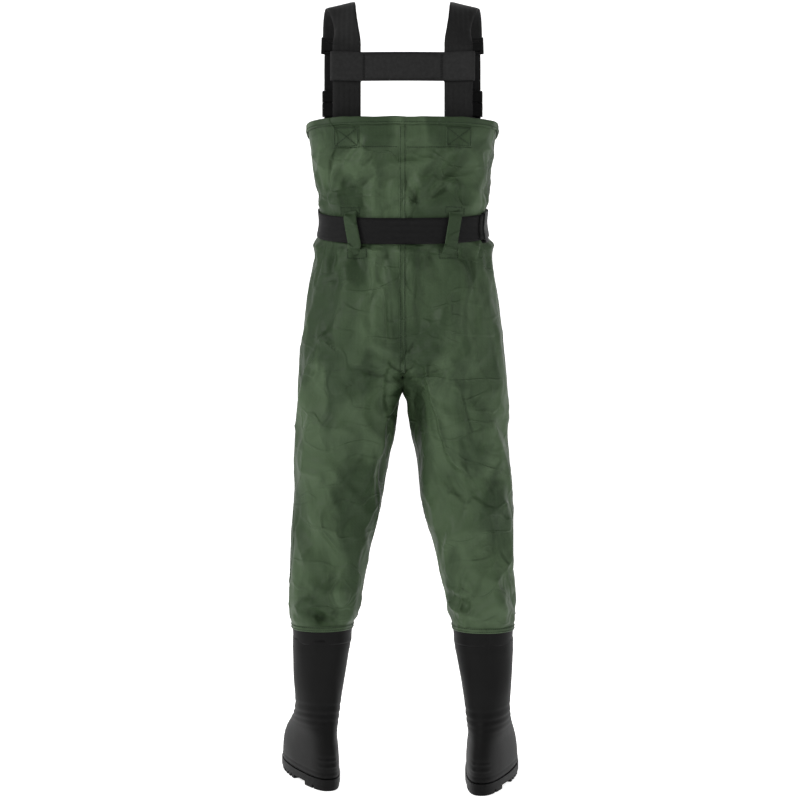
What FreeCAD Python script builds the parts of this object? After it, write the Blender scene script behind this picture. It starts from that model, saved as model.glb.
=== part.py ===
import FreeCAD, Part
import math
import os

# Chest waders hanging upright, wearer facing +Y, wearer's left towards -X.
# Heights in this file are millimetres above the soles. Every piece is moved
# down by SHOULDER_HEIGHT when saved, so that the origin lies between the
# crowns of the two shoulder straps.

SHOULDER_HEIGHT = 1552.0

# Fabric envelope, from the boot tops to the bib's top edge. Each row is one
# level: height, outer side, half depth, inner side, squareness of the outline.
# The inner side is measured from the centre plane and is negative where the
# outline runs on past the centre, which is everywhere above the crotch.
LEVELS = [
    (285.0, 218.5, 70.0, 99.5, 2.1),
    (310.0, 219.0, 73.0, 99.0, 2.1),
    (338.0, 221.0, 76.0, 94.0, 2.1),
    (398.0, 223.0, 80.0, 80.0, 2.1),
    (468.0, 222.0, 86.0, 65.0, 2.1),
    (558.0, 219.0, 94.0, 42.0, 2.1),
    (658.0, 215.0, 104.0, 25.0, 2.1),
    (698.0, 212.0, 108.0, 16.0, 2.1),
    (758.0, 209.0, 116.0, 8.0, 2.15),
    (786.0, 208.0, 122.0, 0.5, 2.2),
    (818.0, 206.0, 128.0, -28.0, 2.3),
    (878.0, 200.0, 135.0, -100.0, 2.4),
    (958.0, 191.0, 134.0, -191.0, 2.5),
    (1038.0, 178.0, 121.5, -178.0, 2.6),
    (1078.0, 170.0, 117.8, -170.0, 2.7),
    (1117.0, 163.0, 117.0, -163.0, 2.8),
    (1150.0, 166.0, 118.0, -166.0, 2.9),
    (1178.0, 169.0, 120.5, -169.0, 3.0),
    (1222.0, 174.0, 126.0, -174.0, 3.1),
    (1258.0, 180.0, 132.0, -180.0, 3.2),
    (1302.0, 190.0, 138.0, -190.0, 3.2),
]
LOFT_HEIGHTS = [
    320.0, 345.0, 398.0, 450.0, 505.0, 560.0, 610.0, 658.0, 710.0, 758.0, 786.0, 818.0, 848.0,
    878.0, 918.0, 958.0, 1000.0, 1038.0, 1070.0, 1095.0, 1117.0, 1139.0, 1165.0, 1200.0,
    1240.0, 1270.0,
]
OUTLINE_POINTS = 36
FABRIC = 2.2
CENTRE_GAP = 0.25
BIB_TOP = 1302.0
CROTCH = 786.0

# The waist is lower behind than in front.
WAIST = 1117.0
WAIST_SLOPE = 0.30
WAIST_REACH = 130.0
WAIST_FLAT = 30.0

# The lower legs sit back under the seat, the left foot a little ahead.
LEG_SETBACK = 28.0
STANCE = 18.0

# Bending lines of the legs.
HIP_HEIGHT = 655.0
HIP_RADIUS = 119.0
KNEE_HEIGHT = 455.0
KNEE_RADIUS = 112.0
BEND_GAP = 0.6

# Boots.
BOOT_TOP = 310.0
BOOT_EDGE = 293.0
FABRIC_END = 294.0
COLLAR_TOP = 319.0
COLLAR_BOTTOM = 278.0
COLLAR_IN = 1.3
COLLAR_OUT = 3.4
BOOT_MIDDLE = 163.0
TOE_OUT = {-1: 16.0, 1: 11.0}
BOOT_WALL = 3.5
SOLE_TOP = 22.0
LUG_HEIGHT = 8.0
# Height, back, front, half width, distance of the middle from the centre plane.
BOOT_LEVELS = [
    (22.4, -75.0, 219.0, 53.0, 163.0),
    (34.0, -76.5, 220.0, 54.5, 163.0),
    (48.0, -76.0, 215.0, 54.5, 163.0),
    (62.0, -75.0, 209.0, 53.5, 163.5),
    (76.0, -74.0, 199.0, 52.0, 164.0),
    (92.0, -71.0, 178.0, 49.5, 165.0),
    (110.0, -66.0, 145.0, 46.0, 166.0),
    (132.0, -60.0, 102.0, 43.0, 167.0),
    (158.0, -57.0, 71.0, 44.0, 167.0),
    (198.0, -60.0, 62.0, 48.5, 166.5),
    (258.0, -65.0, 65.0, 54.0, 163.0),
    (310.0, -71.5, 71.5, 58.8, 159.0),
]

# Harness, drawn in a strap's own frame: x across it, y forward, z up.
STRAP_CENTRE = 123.0
STRAP_ANGLE = 8.4
STRAP_WIDTH = 53.0
STRAP_THICK = 2.4
REAR_RUN = -104.0
FRONT_RUN = 97.0
FRONT_OUT = 5.0
RUN_TOP = 1440.0
STRAP_END = 1258.0
WEBBING_WIDTH = 38.0
WEBBING_THICK = 1.8
ADJUSTER_TURN = 25.0
YOKE_BOTTOM = 1377.0
YOKE_TOP = 1433.0

# Front buckles.
SOCKET_BOTTOM = 1343.0
SOCKET_TOP = 1372.0
PLUG_TOP = 1396.0
BUCKLE_WIDTH = 46.0
BUCKLE_DEPTH = 12.0

# Belt.
BELT_HALF_HEIGHT = 25.0
BELT_IN = 1.6
BELT_OUT = 4.0
BELT_LEAVES = 110.0
BELT_TURNS = 78.0
BELT_BUCKLE_WIDTH = 60.0
BELT_BUCKLE_DEPTH = 12.0
LOOP_HALF_HEIGHT = 42.0

# Chest pocket.
POCKET_HALF_WIDTH = 82.0
POCKET_BOTTOM = 1166.0
POCKET_TOP = 1258.0
POCKET_DEPTH = 14.0

V = FreeCAD.Vector
FAR = 2000.0


def save(name, shape):
    """Write one piece with the origin moved to the shoulders."""
    moved = shape.copy()
    moved.translate(V(0, 0, -SHOULDER_HEIGHT))
    moved.exportStep("parts/" + name + ".step")
    print(name, round(moved.Volume / 1000.0, 1), moved.isValid(), len(moved.Solids))


def block(x0, x1, y0, y1, z0, z1):
    return Part.makeBox(x1 - x0, y1 - y0, z1 - z0, V(x0, y0, z0))


def soft_block(x0, x1, y0, y1, z0, z1, radius):
    """A block with every edge rounded."""
    shape = block(x0, x1, y0, y1, z0, z1)
    return shape.makeFillet(radius, shape.Edges)


def between(rows, height, column):
    """Smooth value of one column of a table at any height."""
    last = len(rows) - 1
    if height <= rows[0][0]:
        slope = (rows[1][column] - rows[0][column]) / (rows[1][0] - rows[0][0])
        return rows[0][column] + slope * (height - rows[0][0])
    if height >= rows[last][0]:
        slope = (rows[last][column] - rows[last - 1][column]) / (rows[last][0] - rows[last - 1][0])
        return rows[last][column] + slope * (height - rows[last][0])
    i = 0
    while rows[i + 1][0] < height:
        i = i + 1
    z0, z1 = rows[i][0], rows[i + 1][0]
    v0, v1 = rows[i][column], rows[i + 1][column]
    before = rows[max(i - 1, 0)]
    after = rows[min(i + 2, last)]
    m0 = (v1 - before[column]) / (z1 - before[0])
    m1 = (after[column] - v0) / (after[0] - z0)
    t = (height - z0) / (z1 - z0)
    span = z1 - z0
    a = 2 * t ** 3 - 3 * t ** 2 + 1
    b = t ** 3 - 2 * t ** 2 + t
    c = 3 * t ** 2 - 2 * t ** 3
    d = t ** 3 - t ** 2
    return a * v0 + b * span * m0 + c * v1 + d * span * m1


def ease(t):
    t = min(max(t, 0.0), 1.0)
    return t * t * (3 - 2 * t)


def leg_centre(height, side):
    """How far forward the middle of a leg lies."""
    back = -LEG_SETBACK * ease((HIP_HEIGHT - height) / (HIP_HEIGHT - BOOT_TOP))
    step = -side * STANCE * min(max((HIP_HEIGHT - height) / HIP_HEIGHT, 0.0), 1.0)
    return back + step


def waist_slope(height):
    t = (height - WAIST) / WAIST_REACH
    if abs(t) >= 1.0:
        return 0.0
    return WAIST_SLOPE * math.cos(t * math.pi / 2) ** 2


def waist_lift(y):
    if y < 0:
        return y
    return WAIST_FLAT * (1 - math.exp(-y / WAIST_FLAT))


def signed_power(value, power):
    return math.copysign(abs(value) ** power, value)


def closed_curve(points):
    curve = Part.BSplineCurve()
    steps = [i / len(points) for i in range(len(points) + 1)]
    curve.interpolate(Points=points, PeriodicFlag=True, Parameters=steps)
    return Part.Wire([curve.toShape()])


def outline(height, side, grow):
    """Outline of one side of the garment at one level."""
    outer = between(LEVELS, height, 1) + grow
    depth = between(LEVELS, height, 2) + grow
    inner = between(LEVELS, height, 3) - grow
    power = between(LEVELS, height, 4)
    middle = (outer + inner) / 2
    half = (outer - inner) / 2
    forward = leg_centre(height, side)
    slope = waist_slope(height)
    points = []
    for i in range(OUTLINE_POINTS):
        turn = 2 * math.pi * (i + 0.5) / OUTLINE_POINTS
        x = side * (middle + half * signed_power(math.cos(turn), 2 / power))
        y = depth * signed_power(math.sin(turn), 2 / power)
        z = height + slope * waist_lift(y)
        points.append(V(x, forward + y, z))
    return closed_curve(points)


def levels_between(low, high):
    return [z for z in LOFT_HEIGHTS if low + 8 < z < high - 8]


def layer(side, inside, outside, low, high):
    """The space between two offsets of the garment's surface."""
    middle = levels_between(low, high)
    skin_levels = [low] + middle + [high]
    core_levels = [low - 6, low] + middle + [high, high + 6]
    skin = Part.makeLoft([outline(z, side, outside) for z in skin_levels], True, True)
    core = Part.makeLoft([outline(z, side, inside) for z in core_levels], True, True)
    return skin.cut(core)


def torso_layer(inside, outside):
    return layer(1, inside, outside, 980.0, BIB_TOP)


def other_half(side):
    if side < 0:
        return block(-CENTRE_GAP, 400.0, -300.0, 300.0, 0.0, 1500.0)
    return block(-400.0, CENTRE_GAP, -300.0, 300.0, 0.0, 1500.0)


def below_bend(y, z, radius):
    """Everything below a bending line, rounded over its top."""
    top = Part.makeCylinder(radius, 1200.0, V(-600.0, y, z), V(1, 0, 0))
    rest = block(-600.0, 600.0, y - radius, y + radius, 100.0, z)
    return top.fuse(rest).removeSplitter()


def leg_pieces(side):
    """Body, thigh and shin panels of one side, parted on two bending lines."""
    cloth = layer(side, -FABRIC, 0.0, FABRIC_END, BIB_TOP).cut(other_half(side))
    hip_y = leg_centre(HIP_HEIGHT, side)
    knee_y = leg_centre(KNEE_HEIGHT, side)
    body = cloth.cut(below_bend(hip_y, HIP_HEIGHT, HIP_RADIUS + BEND_GAP))
    lower = cloth.common(below_bend(hip_y, HIP_HEIGHT, HIP_RADIUS))
    thigh = lower.cut(below_bend(knee_y, KNEE_HEIGHT, KNEE_RADIUS + BEND_GAP))
    shin = lower.common(below_bend(knee_y, KNEE_HEIGHT, KNEE_RADIUS))
    return body, thigh, shin


def seam_tape(front):
    """Taped seam down the middle of the back or the front of the body."""
    both = []
    for side in (-1, 1):
        skin = layer(side, 0.35, 1.15, 800.0, BIB_TOP)
        x0, x1 = (-6.0, 0.0) if side < 0 else (0.0, 6.0)
        y0, y1 = (0.0, FAR) if front else (-FAR, 0.0)
        top = POCKET_BOTTOM - 2.0 if front else BIB_TOP - 16.0
        both.append(skin.common(block(x0, x1, y0, y1, 822.0, top)))
    return both[0].fuse(both[1]).removeSplitter()


def top_hem():
    return torso_layer(0.35, 1.7).common(block(-FAR, FAR, -FAR, FAR, 1288.0, FAR))


def stitched_patch(side, front):
    """Box-stitched patch over the sewn end of a strap."""
    skin = torso_layer(0.35, 1.3)
    middle = 107.0 if not front else 142.0
    half = 26.0 if not front else 21.0
    x0, x1 = sorted((side * (middle - half), side * (middle + half)))
    y0, y1 = (0.0, FAR) if front else (-FAR, 0.0)
    return skin.common(block(x0, x1, y0, y1, 1244.0, 1286.0))


def footprint(z, back, front, half, grow):
    """Outline of a boot at one level: round in the shaft, foot-shaped low down."""
    points = []
    middle = (front + back) / 2
    length = (front - back) / 2 + grow
    foot = ease((length - 70.0) / 60.0)
    for i in range(40):
        turn = 2 * math.pi * i / 40
        along = signed_power(math.cos(turn), 2 / (2.0 + 0.3 * foot))
        across = signed_power(math.sin(turn), 2 / (2.0 + 0.3 * foot))
        heel_share = ease((along + 1.0) / 1.7)
        width = 1.0 - foot * 0.32 * (1 - heel_share)
        lean = foot * 5.0 * ease((along + 0.2) / 1.2)
        x = (half + grow) * width * across - lean
        points.append(V(x, middle + length * along, z))
    return closed_curve(points)


def boot_turn(height, side):
    """The foot turns out while the top of the shaft stays square to the leg."""
    return TOE_OUT[side] * ease((260.0 - height) / 120.0)


def on_side(shape, side):
    """Mirror a piece of the right boot to the left."""
    return shape if side > 0 else shape.mirror(V(0, 0, 0), V(1, 0, 0))


def set_boot(shape, side, height):
    """Turn the toe out and set a level of a boot under its leg, drawn on the right."""
    moved = shape.copy()
    moved.rotate(V(0, 0, 0), V(0, 0, 1), -boot_turn(height, side))
    forward = -LEG_SETBACK - side * STANCE * (HIP_HEIGHT - height) / HIP_HEIGHT
    moved.translate(V(BOOT_MIDDLE, forward, 0))
    return moved


def boot_body(side, grow, bottom, top):
    wires = []
    for z in sorted([level[0] for level in BOOT_LEVELS] + [228.0, 284.0]):
        back, front, half, middle = [between(BOOT_LEVELS, z, k) for k in (1, 2, 3, 4)]
        wire = footprint(z, back, front, half, grow)
        wire.translate(V(middle - BOOT_MIDDLE, 0, 0))
        wires.append(set_boot(wire, side, z))
    shape = Part.makeLoft(wires, True, False)
    shape = shape.cut(block(-500, 500, -400, 500, top, 500))
    return shape.cut(block(-500, 500, -400, 500, -100, bottom))


def boot_upper(side):
    outer = boot_body(side, 0.0, 22.0, BOOT_EDGE)
    inner = boot_body(side, -BOOT_WALL, 27.0, BOOT_EDGE + 10)
    return on_side(outer.cut(inner), side)


def outsole(side):
    """Moulded sole: plate, heel block and cross lugs with an open arch."""
    plate = Part.Face(footprint(LUG_HEIGHT, -79.0, 223.0, 57.0, 0.0))
    plate = plate.extrude(V(0, 0, SOLE_TOP - LUG_HEIGHT))
    tread = Part.Face(footprint(0.0, -77.0, 221.0, 55.0, 0.0)).extrude(V(0, 0, LUG_HEIGHT + 1))
    keep = block(-80, 80, -90, -12, -1, 20)
    y = 44.0
    while y < 205.0:
        keep = keep.fuse(block(-80, 80, y, y + 13.0, -1, 20))
        y = y + 21.0
    heel_groove = block(-80, 80, -48, -42, -1, LUG_HEIGHT - 2)
    shape = plate.fuse(tread.common(keep)).cut(heel_groove).removeSplitter()
    return on_side(set_boot(shape, side, SOLE_TOP), side)


def insole(side):
    plate = Part.Face(footprint(27.5, -75.0, 219.0, 53.0, -6.0))
    return on_side(set_boot(plate.extrude(V(0, 0, 4.0)), side, 27.0), side)


def boot_collar(side):
    """Rubber band that covers the joint of boot and fabric."""
    return layer(side, COLLAR_IN, COLLAR_OUT, COLLAR_BOTTOM, COLLAR_TOP)


def strap_points(start, end, steps):
    """Points along the strap's path between two turns of its shoulder arc."""
    points = []
    rise = SHOULDER_HEIGHT - RUN_TOP
    for i in range(steps + 1):
        turn = math.radians(start + (end - start) * i / steps)
        reach = FRONT_RUN if math.cos(turn) > 0 else -REAR_RUN
        points.append((reach * math.cos(turn), RUN_TOP + rise * math.sin(turn)))
    return points


def ribbon(path, width, thick, shift):
    """Flat band of webbing that follows a path in the y-z plane."""
    left = []
    right = []
    for i in range(len(path)):
        before = path[max(i - 1, 0)]
        after = path[min(i + 1, len(path) - 1)]
        dy = after[0] - before[0]
        dz = after[1] - before[1]
        size = math.hypot(dy, dz)
        ny = -dz / size * thick / 2
        nz = dy / size * thick / 2
        left.append(V(shift - width / 2, path[i][0] + ny, path[i][1] + nz))
        right.append(V(shift - width / 2, path[i][0] - ny, path[i][1] - nz))
    edge_a = Part.BSplineCurve()
    edge_a.interpolate(left)
    edge_b = Part.BSplineCurve()
    edge_b.interpolate(right)
    wire = Part.Wire([
        edge_a.toShape(),
        Part.LineSegment(left[-1], right[-1]).toShape(),
        edge_b.toShape(),
        Part.LineSegment(right[0], left[0]).toShape(),
    ])
    return Part.Face(wire).extrude(V(width, 0, 0))


def place_strap(shape, side):
    moved = shape
    if side < 0:
        moved = moved.mirror(V(0, 0, 0), V(1, 0, 0))
    moved = moved.copy()
    moved.rotate(V(0, 0, 0), V(0, 0, 1), -side * STRAP_ANGLE)
    moved.translate(V(side * STRAP_CENTRE, 0, 0))
    return moved


def shoulder_strap():
    half = STRAP_THICK / 2
    rear = block(-STRAP_WIDTH / 2, STRAP_WIDTH / 2, REAR_RUN - half, REAR_RUN + half,
                 STRAP_END, RUN_TOP)
    arc = ribbon(strap_points(180, ADJUSTER_TURN + 6, 26), STRAP_WIDTH, STRAP_THICK, 0.0)
    return rear.fuse(arc)


def front_webbing():
    half = WEBBING_THICK / 2
    run = block(FRONT_OUT - WEBBING_WIDTH / 2, FRONT_OUT + WEBBING_WIDTH / 2,
                FRONT_RUN - half, FRONT_RUN + half, SOCKET_TOP + 8, RUN_TOP)
    arc = ribbon(strap_points(ADJUSTER_TURN - 6, 0, 8), WEBBING_WIDTH, WEBBING_THICK, FRONT_OUT)
    return run.fuse(arc)


def strap_adjuster():
    """Ladder slide that joins the wide strap to the front webbing."""
    frame = soft_block(-31.0, 31.0, -4.4, 4.4, -17.0, 17.0, 1.6)
    frame = frame.cut(block(-24.0, 24.0, -10.0, 10.0, -12.5, -8.0))
    frame = frame.cut(block(-24.0, 24.0, -10.0, 10.0, 8.0, 12.5))
    turn = math.radians(ADJUSTER_TURN)
    rise = SHOULDER_HEIGHT - RUN_TOP
    lean = math.degrees(math.atan2(FRONT_RUN * math.sin(turn), rise * math.cos(turn)))
    frame.rotate(V(0, 0, 0), V(1, 0, 0), lean)
    frame.translate(V(0, FRONT_RUN * math.cos(turn), RUN_TOP + rise * math.sin(turn)))
    strap_way = ribbon(strap_points(90, ADJUSTER_TURN + 2, 26), STRAP_WIDTH + 1.6,
                       STRAP_THICK + 1.2, 0.0)
    webbing_way = ribbon(strap_points(ADJUSTER_TURN - 2, 0, 10), WEBBING_WIDTH + 1.6,
                         WEBBING_THICK + 1.2, FRONT_OUT)
    return frame.cut(strap_way).cut(webbing_way)


def buckle_socket(width, depth, bottom, top, webbing):
    """Side-release socket, open above, threaded on its webbing from below."""
    half = width / 2
    body = soft_block(-half, half, -depth / 2, depth / 2, bottom, top, 1.8)
    body = body.cut(block(3.6 - half, half - 3.6, 2.2 - depth / 2, depth / 2 - 2.2,
                          bottom + 7.0, top + 1))
    slot = webbing / 2 + 0.6
    body = body.cut(block(-slot, slot, -1.7, 1.7, bottom - 1, bottom + 8.0))
    window = top - 15.0
    body = body.cut(block(-half - 1, half + 1, 3.2 - depth / 2, depth / 2 - 3.2,
                          window, window + 10.0))
    return body


def buckle_plug(width, depth, bottom, top, reach, slot_width, slot_thick):
    """Side-release plug with two arms and a guide, threaded on its webbing."""
    half = width / 2
    body = soft_block(-half, half, -depth / 2, depth / 2, bottom, top, 1.6)
    body = body.cut(block(-slot_width / 2, slot_width / 2, -slot_thick / 2, slot_thick / 2,
                          bottom + 4.0, top + 1))
    arm_in = half - 9.2
    arm_out = half - 4.6
    thin = depth / 2 - 3.6
    for sign in (-1, 1):
        x0, x1 = sorted((sign * arm_in, sign * arm_out))
        body = body.fuse(block(x0, x1, -thin, thin, bottom - reach, bottom + 1))
    body = body.fuse(block(-2.5, 2.5, -thin, thin, bottom - reach, bottom + 1))
    return body.removeSplitter()


def front_buckle(piece):
    piece.translate(V(FRONT_OUT, FRONT_RUN, 0))
    return piece


def front_tab(side):
    """Webbing sewn inside the bib that carries the lower half of a buckle."""
    half = WEBBING_THICK / 2
    run = block(FRONT_OUT - WEBBING_WIDTH / 2, FRONT_OUT + WEBBING_WIDTH / 2,
                FRONT_RUN - half, FRONT_RUN + half, 1262.0, SOCKET_BOTTOM + 3.0)
    return place_strap(run, side).cut(torso_layer(-FABRIC - 0.5, 24.0))


def back_yoke():
    """Cross band that joins the straps behind the shoulders, a sleeve round each."""
    shape = block(-78.4, 78.4, REAR_RUN + 1.8, REAR_RUN + 3.8, YOKE_BOTTOM, YOKE_TOP)
    for side in (-1, 1):
        sleeve = block(-30.0, 30.0, REAR_RUN - 3.8, REAR_RUN + 3.8, YOKE_BOTTOM, YOKE_TOP)
        hole = block(-28.2, 28.2, REAR_RUN - 2.2, REAR_RUN + 2.2, YOKE_BOTTOM - 1, YOKE_TOP + 1)
        shape = shape.cut(place_strap(hole, side))
        shape = shape.fuse(place_strap(sleeve.cut(hole), side))
    return shape.removeSplitter()


def belt_slab(half_height):
    """Everything within a given height of the belt's sloping middle line."""
    lower = []
    upper = []
    for i in range(31):
        y = -200.0 + 400.0 * i / 30
        lift = WAIST_SLOPE * waist_lift(y)
        lower.append(V(-400, y, WAIST - half_height + lift))
        upper.append(V(-400, y, WAIST + half_height + lift))
    edge_a = Part.BSplineCurve()
    edge_a.interpolate(lower)
    edge_b = Part.BSplineCurve()
    edge_b.interpolate(upper)
    wire = Part.Wire([
        edge_a.toShape(),
        Part.LineSegment(lower[-1], upper[-1]).toShape(),
        edge_b.toShape(),
        Part.LineSegment(upper[0], lower[0]).toShape(),
    ])
    return Part.Face(wire).extrude(V(800, 0, 0))


def belt_layer(inside, outside, half_height):
    return torso_layer(inside, outside).common(belt_slab(half_height))


def belt_ring_y(x):
    """How far forward the middle of the belt lies at the front."""
    middle = (BELT_IN + BELT_OUT) / 2
    half = between(LEVELS, WAIST, 1) + middle
    depth = between(LEVELS, WAIST, 2) + middle
    power = between(LEVELS, WAIST, 4)
    return depth * (1 - (x / half) ** power) ** (1 / power)


def belt_end(side, reach):
    """Straight run of belt that leaves the waist to meet the buckle."""
    y0 = belt_front_y()
    y1 = belt_ring_y(BELT_LEAVES) + 0.8
    half = (BELT_OUT - BELT_IN) / 2
    z = belt_front_z() - BELT_HALF_HEIGHT
    corners = [
        V(side * reach, y0 - half, z),
        V(side * BELT_TURNS, y0 - half, z),
        V(side * BELT_LEAVES, y1 - half, z),
        V(side * BELT_LEAVES, y1 + half, z),
        V(side * BELT_TURNS, y0 + half, z),
        V(side * reach, y0 + half, z),
    ]
    face = Part.Face(Part.makePolygon(corners + [corners[0]]))
    return face.extrude(V(0, 0, 2 * BELT_HALF_HEIGHT))


def belt_webbing():
    band = belt_layer(BELT_IN, BELT_OUT, BELT_HALF_HEIGHT)
    inner = BELT_LEAVES - 4.0
    band = band.cut(block(-inner, inner, 0.0, FAR, 1000, FAR))
    return band.fuse(belt_end(-1, 34.0)).fuse(belt_end(1, 8.0))


def belt_loop(middle, front):
    """Fabric loop over the belt, sewn down above and below it."""
    reach = LOOP_HALF_HEIGHT
    y0, y1 = (0.0, FAR) if front else (-FAR, 0.0)
    strip = block(middle - 10.0, middle + 10.0, y0, y1, 900, FAR)
    over = belt_layer(BELT_OUT + 0.7, BELT_OUT + 2.0, reach)
    feet = belt_layer(0.35, BELT_OUT + 2.0, reach)
    feet = feet.common(strip).cut(belt_slab(BELT_HALF_HEIGHT + 2.5))
    return over.common(strip).fuse(feet)


def belt_slider():
    """Plastic keeper round the doubled belt on the wearer's right."""
    frame = belt_layer(BELT_IN - 1.0, BELT_OUT + 3.2, BELT_HALF_HEIGHT + 4.0)
    hole = belt_layer(BELT_IN - 0.35, BELT_OUT + 1.9, BELT_HALF_HEIGHT + 0.5)
    strip = block(FAR * -1, FAR, -66.0, -48.0, 900, FAR)
    strip = strip.common(block(0, FAR, -FAR, FAR, 900, FAR))
    return frame.common(strip).cut(hole)


def belt_tail():
    """Free end of the belt folded back outside it on the wearer's right."""
    skin = belt_layer(BELT_OUT + 0.35, BELT_OUT + 1.55, BELT_HALF_HEIGHT - 0.5)
    return skin.common(block(60.0, 400.0, -74.0, 40.0, 900, 1300))


def belt_front_y():
    return between(LEVELS, WAIST, 2) + 9.2


def belt_front_z():
    return WAIST + WAIST_SLOPE * waist_lift(between(LEVELS, WAIST, 2))


def lay_across(shape):
    """Turn a buckle drawn upright so that it points along the belt at the front."""
    shape.rotate(V(0, 0, 0), V(0, 1, 0), 90)
    shape.translate(V(0, belt_front_y(), belt_front_z()))
    return shape


def pocket():
    """Flat patch pocket on the chest, open along its top."""
    bag = torso_layer(0.35, POCKET_DEPTH)
    outer = block(-POCKET_HALF_WIDTH, POCKET_HALF_WIDTH, 0, FAR, POCKET_BOTTOM, POCKET_TOP)
    room = torso_layer(2.0, POCKET_DEPTH - 1.6)
    inner = block(4 - POCKET_HALF_WIDTH, POCKET_HALF_WIDTH - 4, 0, FAR, POCKET_BOTTOM + 4, FAR)
    return bag.common(outer).cut(room.common(inner))


def pocket_flap():
    """Flap that covers the pocket's mouth, hung from its top edge."""
    skin = torso_layer(POCKET_DEPTH + 1.6, POCKET_DEPTH + 3.4)
    half = POCKET_HALF_WIDTH + 3.0
    face = skin.common(block(-half, half, 0, FAR, POCKET_TOP - 30.0, POCKET_TOP + 10.0))
    return face


def flap_binding():
    """Sewn strip above the pocket that carries the flap."""
    skin = torso_layer(0.35, POCKET_DEPTH + 3.4)
    half = POCKET_HALF_WIDTH + 3.0
    return skin.common(block(-half, half, 0, 400.0, POCKET_TOP + 13.6, POCKET_TOP + 17.6))


def belt_socket():
    body = buckle_socket(BELT_BUCKLE_WIDTH, BELT_BUCKLE_DEPTH, -36.0, -3.0, 51.0)
    return lay_across(body)


def belt_plug():
    body = buckle_plug(BELT_BUCKLE_WIDTH, BELT_BUCKLE_DEPTH, -2.5, 22.0, 22.0, 52.0, 4.4)
    return lay_across(body)


def main():
    os.makedirs("parts", exist_ok=True)
    names = {-1: "left_", 1: "right_"}
    for side in (-1, 1):
        name = names[side]
        body, thigh, shin = leg_pieces(side)
        save(name + "body_panel", body)
        save(name + "thigh_panel", thigh)
        save(name + "shin_panel", shin)
        save(name + "boot_upper", boot_upper(side))
        save(name + "outsole", outsole(side))
        save(name + "insole", insole(side))
        save(name + "boot_collar", boot_collar(side))
        save(name + "shoulder_strap", place_strap(shoulder_strap(), side))
        save(name + "front_webbing", place_strap(front_webbing(), side))
        save(name + "strap_adjuster", place_strap(strap_adjuster(), side))
        save(name + "front_tab", front_tab(side))
        socket = buckle_socket(BUCKLE_WIDTH, BUCKLE_DEPTH, SOCKET_BOTTOM, SOCKET_TOP,
                               WEBBING_WIDTH)
        save(name + "buckle_socket", place_strap(front_buckle(socket), side))
        plug = buckle_plug(BUCKLE_WIDTH, BUCKLE_DEPTH, SOCKET_TOP + 0.5, PLUG_TOP, 20.0, 40.0, 4.4)
        save(name + "buckle_plug", place_strap(front_buckle(plug), side))
        save(name + "back_patch", stitched_patch(side, False))
        save(name + "front_patch", stitched_patch(side, True))
        save(name + "back_belt_loop", belt_loop(side * 96.0, False))
        save(name + "front_belt_loop", belt_loop(side * 128.0, True))
    save("top_hem", top_hem())
    save("centre_back_seam", seam_tape(False))
    save("centre_front_seam", seam_tape(True))
    save("back_yoke", back_yoke())
    save("belt_webbing", belt_webbing())
    save("belt_slider", belt_slider())
    save("belt_tail", belt_tail())
    save("chest_pocket", pocket())
    save("pocket_flap", pocket_flap())
    save("flap_binding", flap_binding())
    save("belt_socket", belt_socket())
    save("belt_plug", belt_plug())


main()
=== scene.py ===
import math
import bpy
import bmesh
import numpy as np
from mathutils import Vector, Matrix, noise
from mathutils.bvhtree import BVHTree


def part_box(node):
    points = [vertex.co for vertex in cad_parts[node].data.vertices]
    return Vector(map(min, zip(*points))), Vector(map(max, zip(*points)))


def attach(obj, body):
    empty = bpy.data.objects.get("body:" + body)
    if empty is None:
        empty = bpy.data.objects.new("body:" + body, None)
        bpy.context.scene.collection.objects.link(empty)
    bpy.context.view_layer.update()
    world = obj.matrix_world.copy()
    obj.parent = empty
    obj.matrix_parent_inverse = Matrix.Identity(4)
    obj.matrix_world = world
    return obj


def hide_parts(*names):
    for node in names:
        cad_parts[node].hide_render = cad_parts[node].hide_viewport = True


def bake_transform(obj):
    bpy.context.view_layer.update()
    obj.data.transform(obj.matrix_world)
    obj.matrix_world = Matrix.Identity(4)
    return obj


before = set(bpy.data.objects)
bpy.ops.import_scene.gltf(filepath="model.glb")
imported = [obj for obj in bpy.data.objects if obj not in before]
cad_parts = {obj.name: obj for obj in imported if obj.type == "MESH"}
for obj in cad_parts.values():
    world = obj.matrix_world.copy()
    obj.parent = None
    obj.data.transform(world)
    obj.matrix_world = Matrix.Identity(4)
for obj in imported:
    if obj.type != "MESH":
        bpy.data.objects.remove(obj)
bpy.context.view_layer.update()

# Heights in the helpers below are millimetres above the soles, and the other
# measures are millimetres too. row() turns them into the frame's metres.
SHOULDER_HEIGHT = 1552.0
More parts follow.
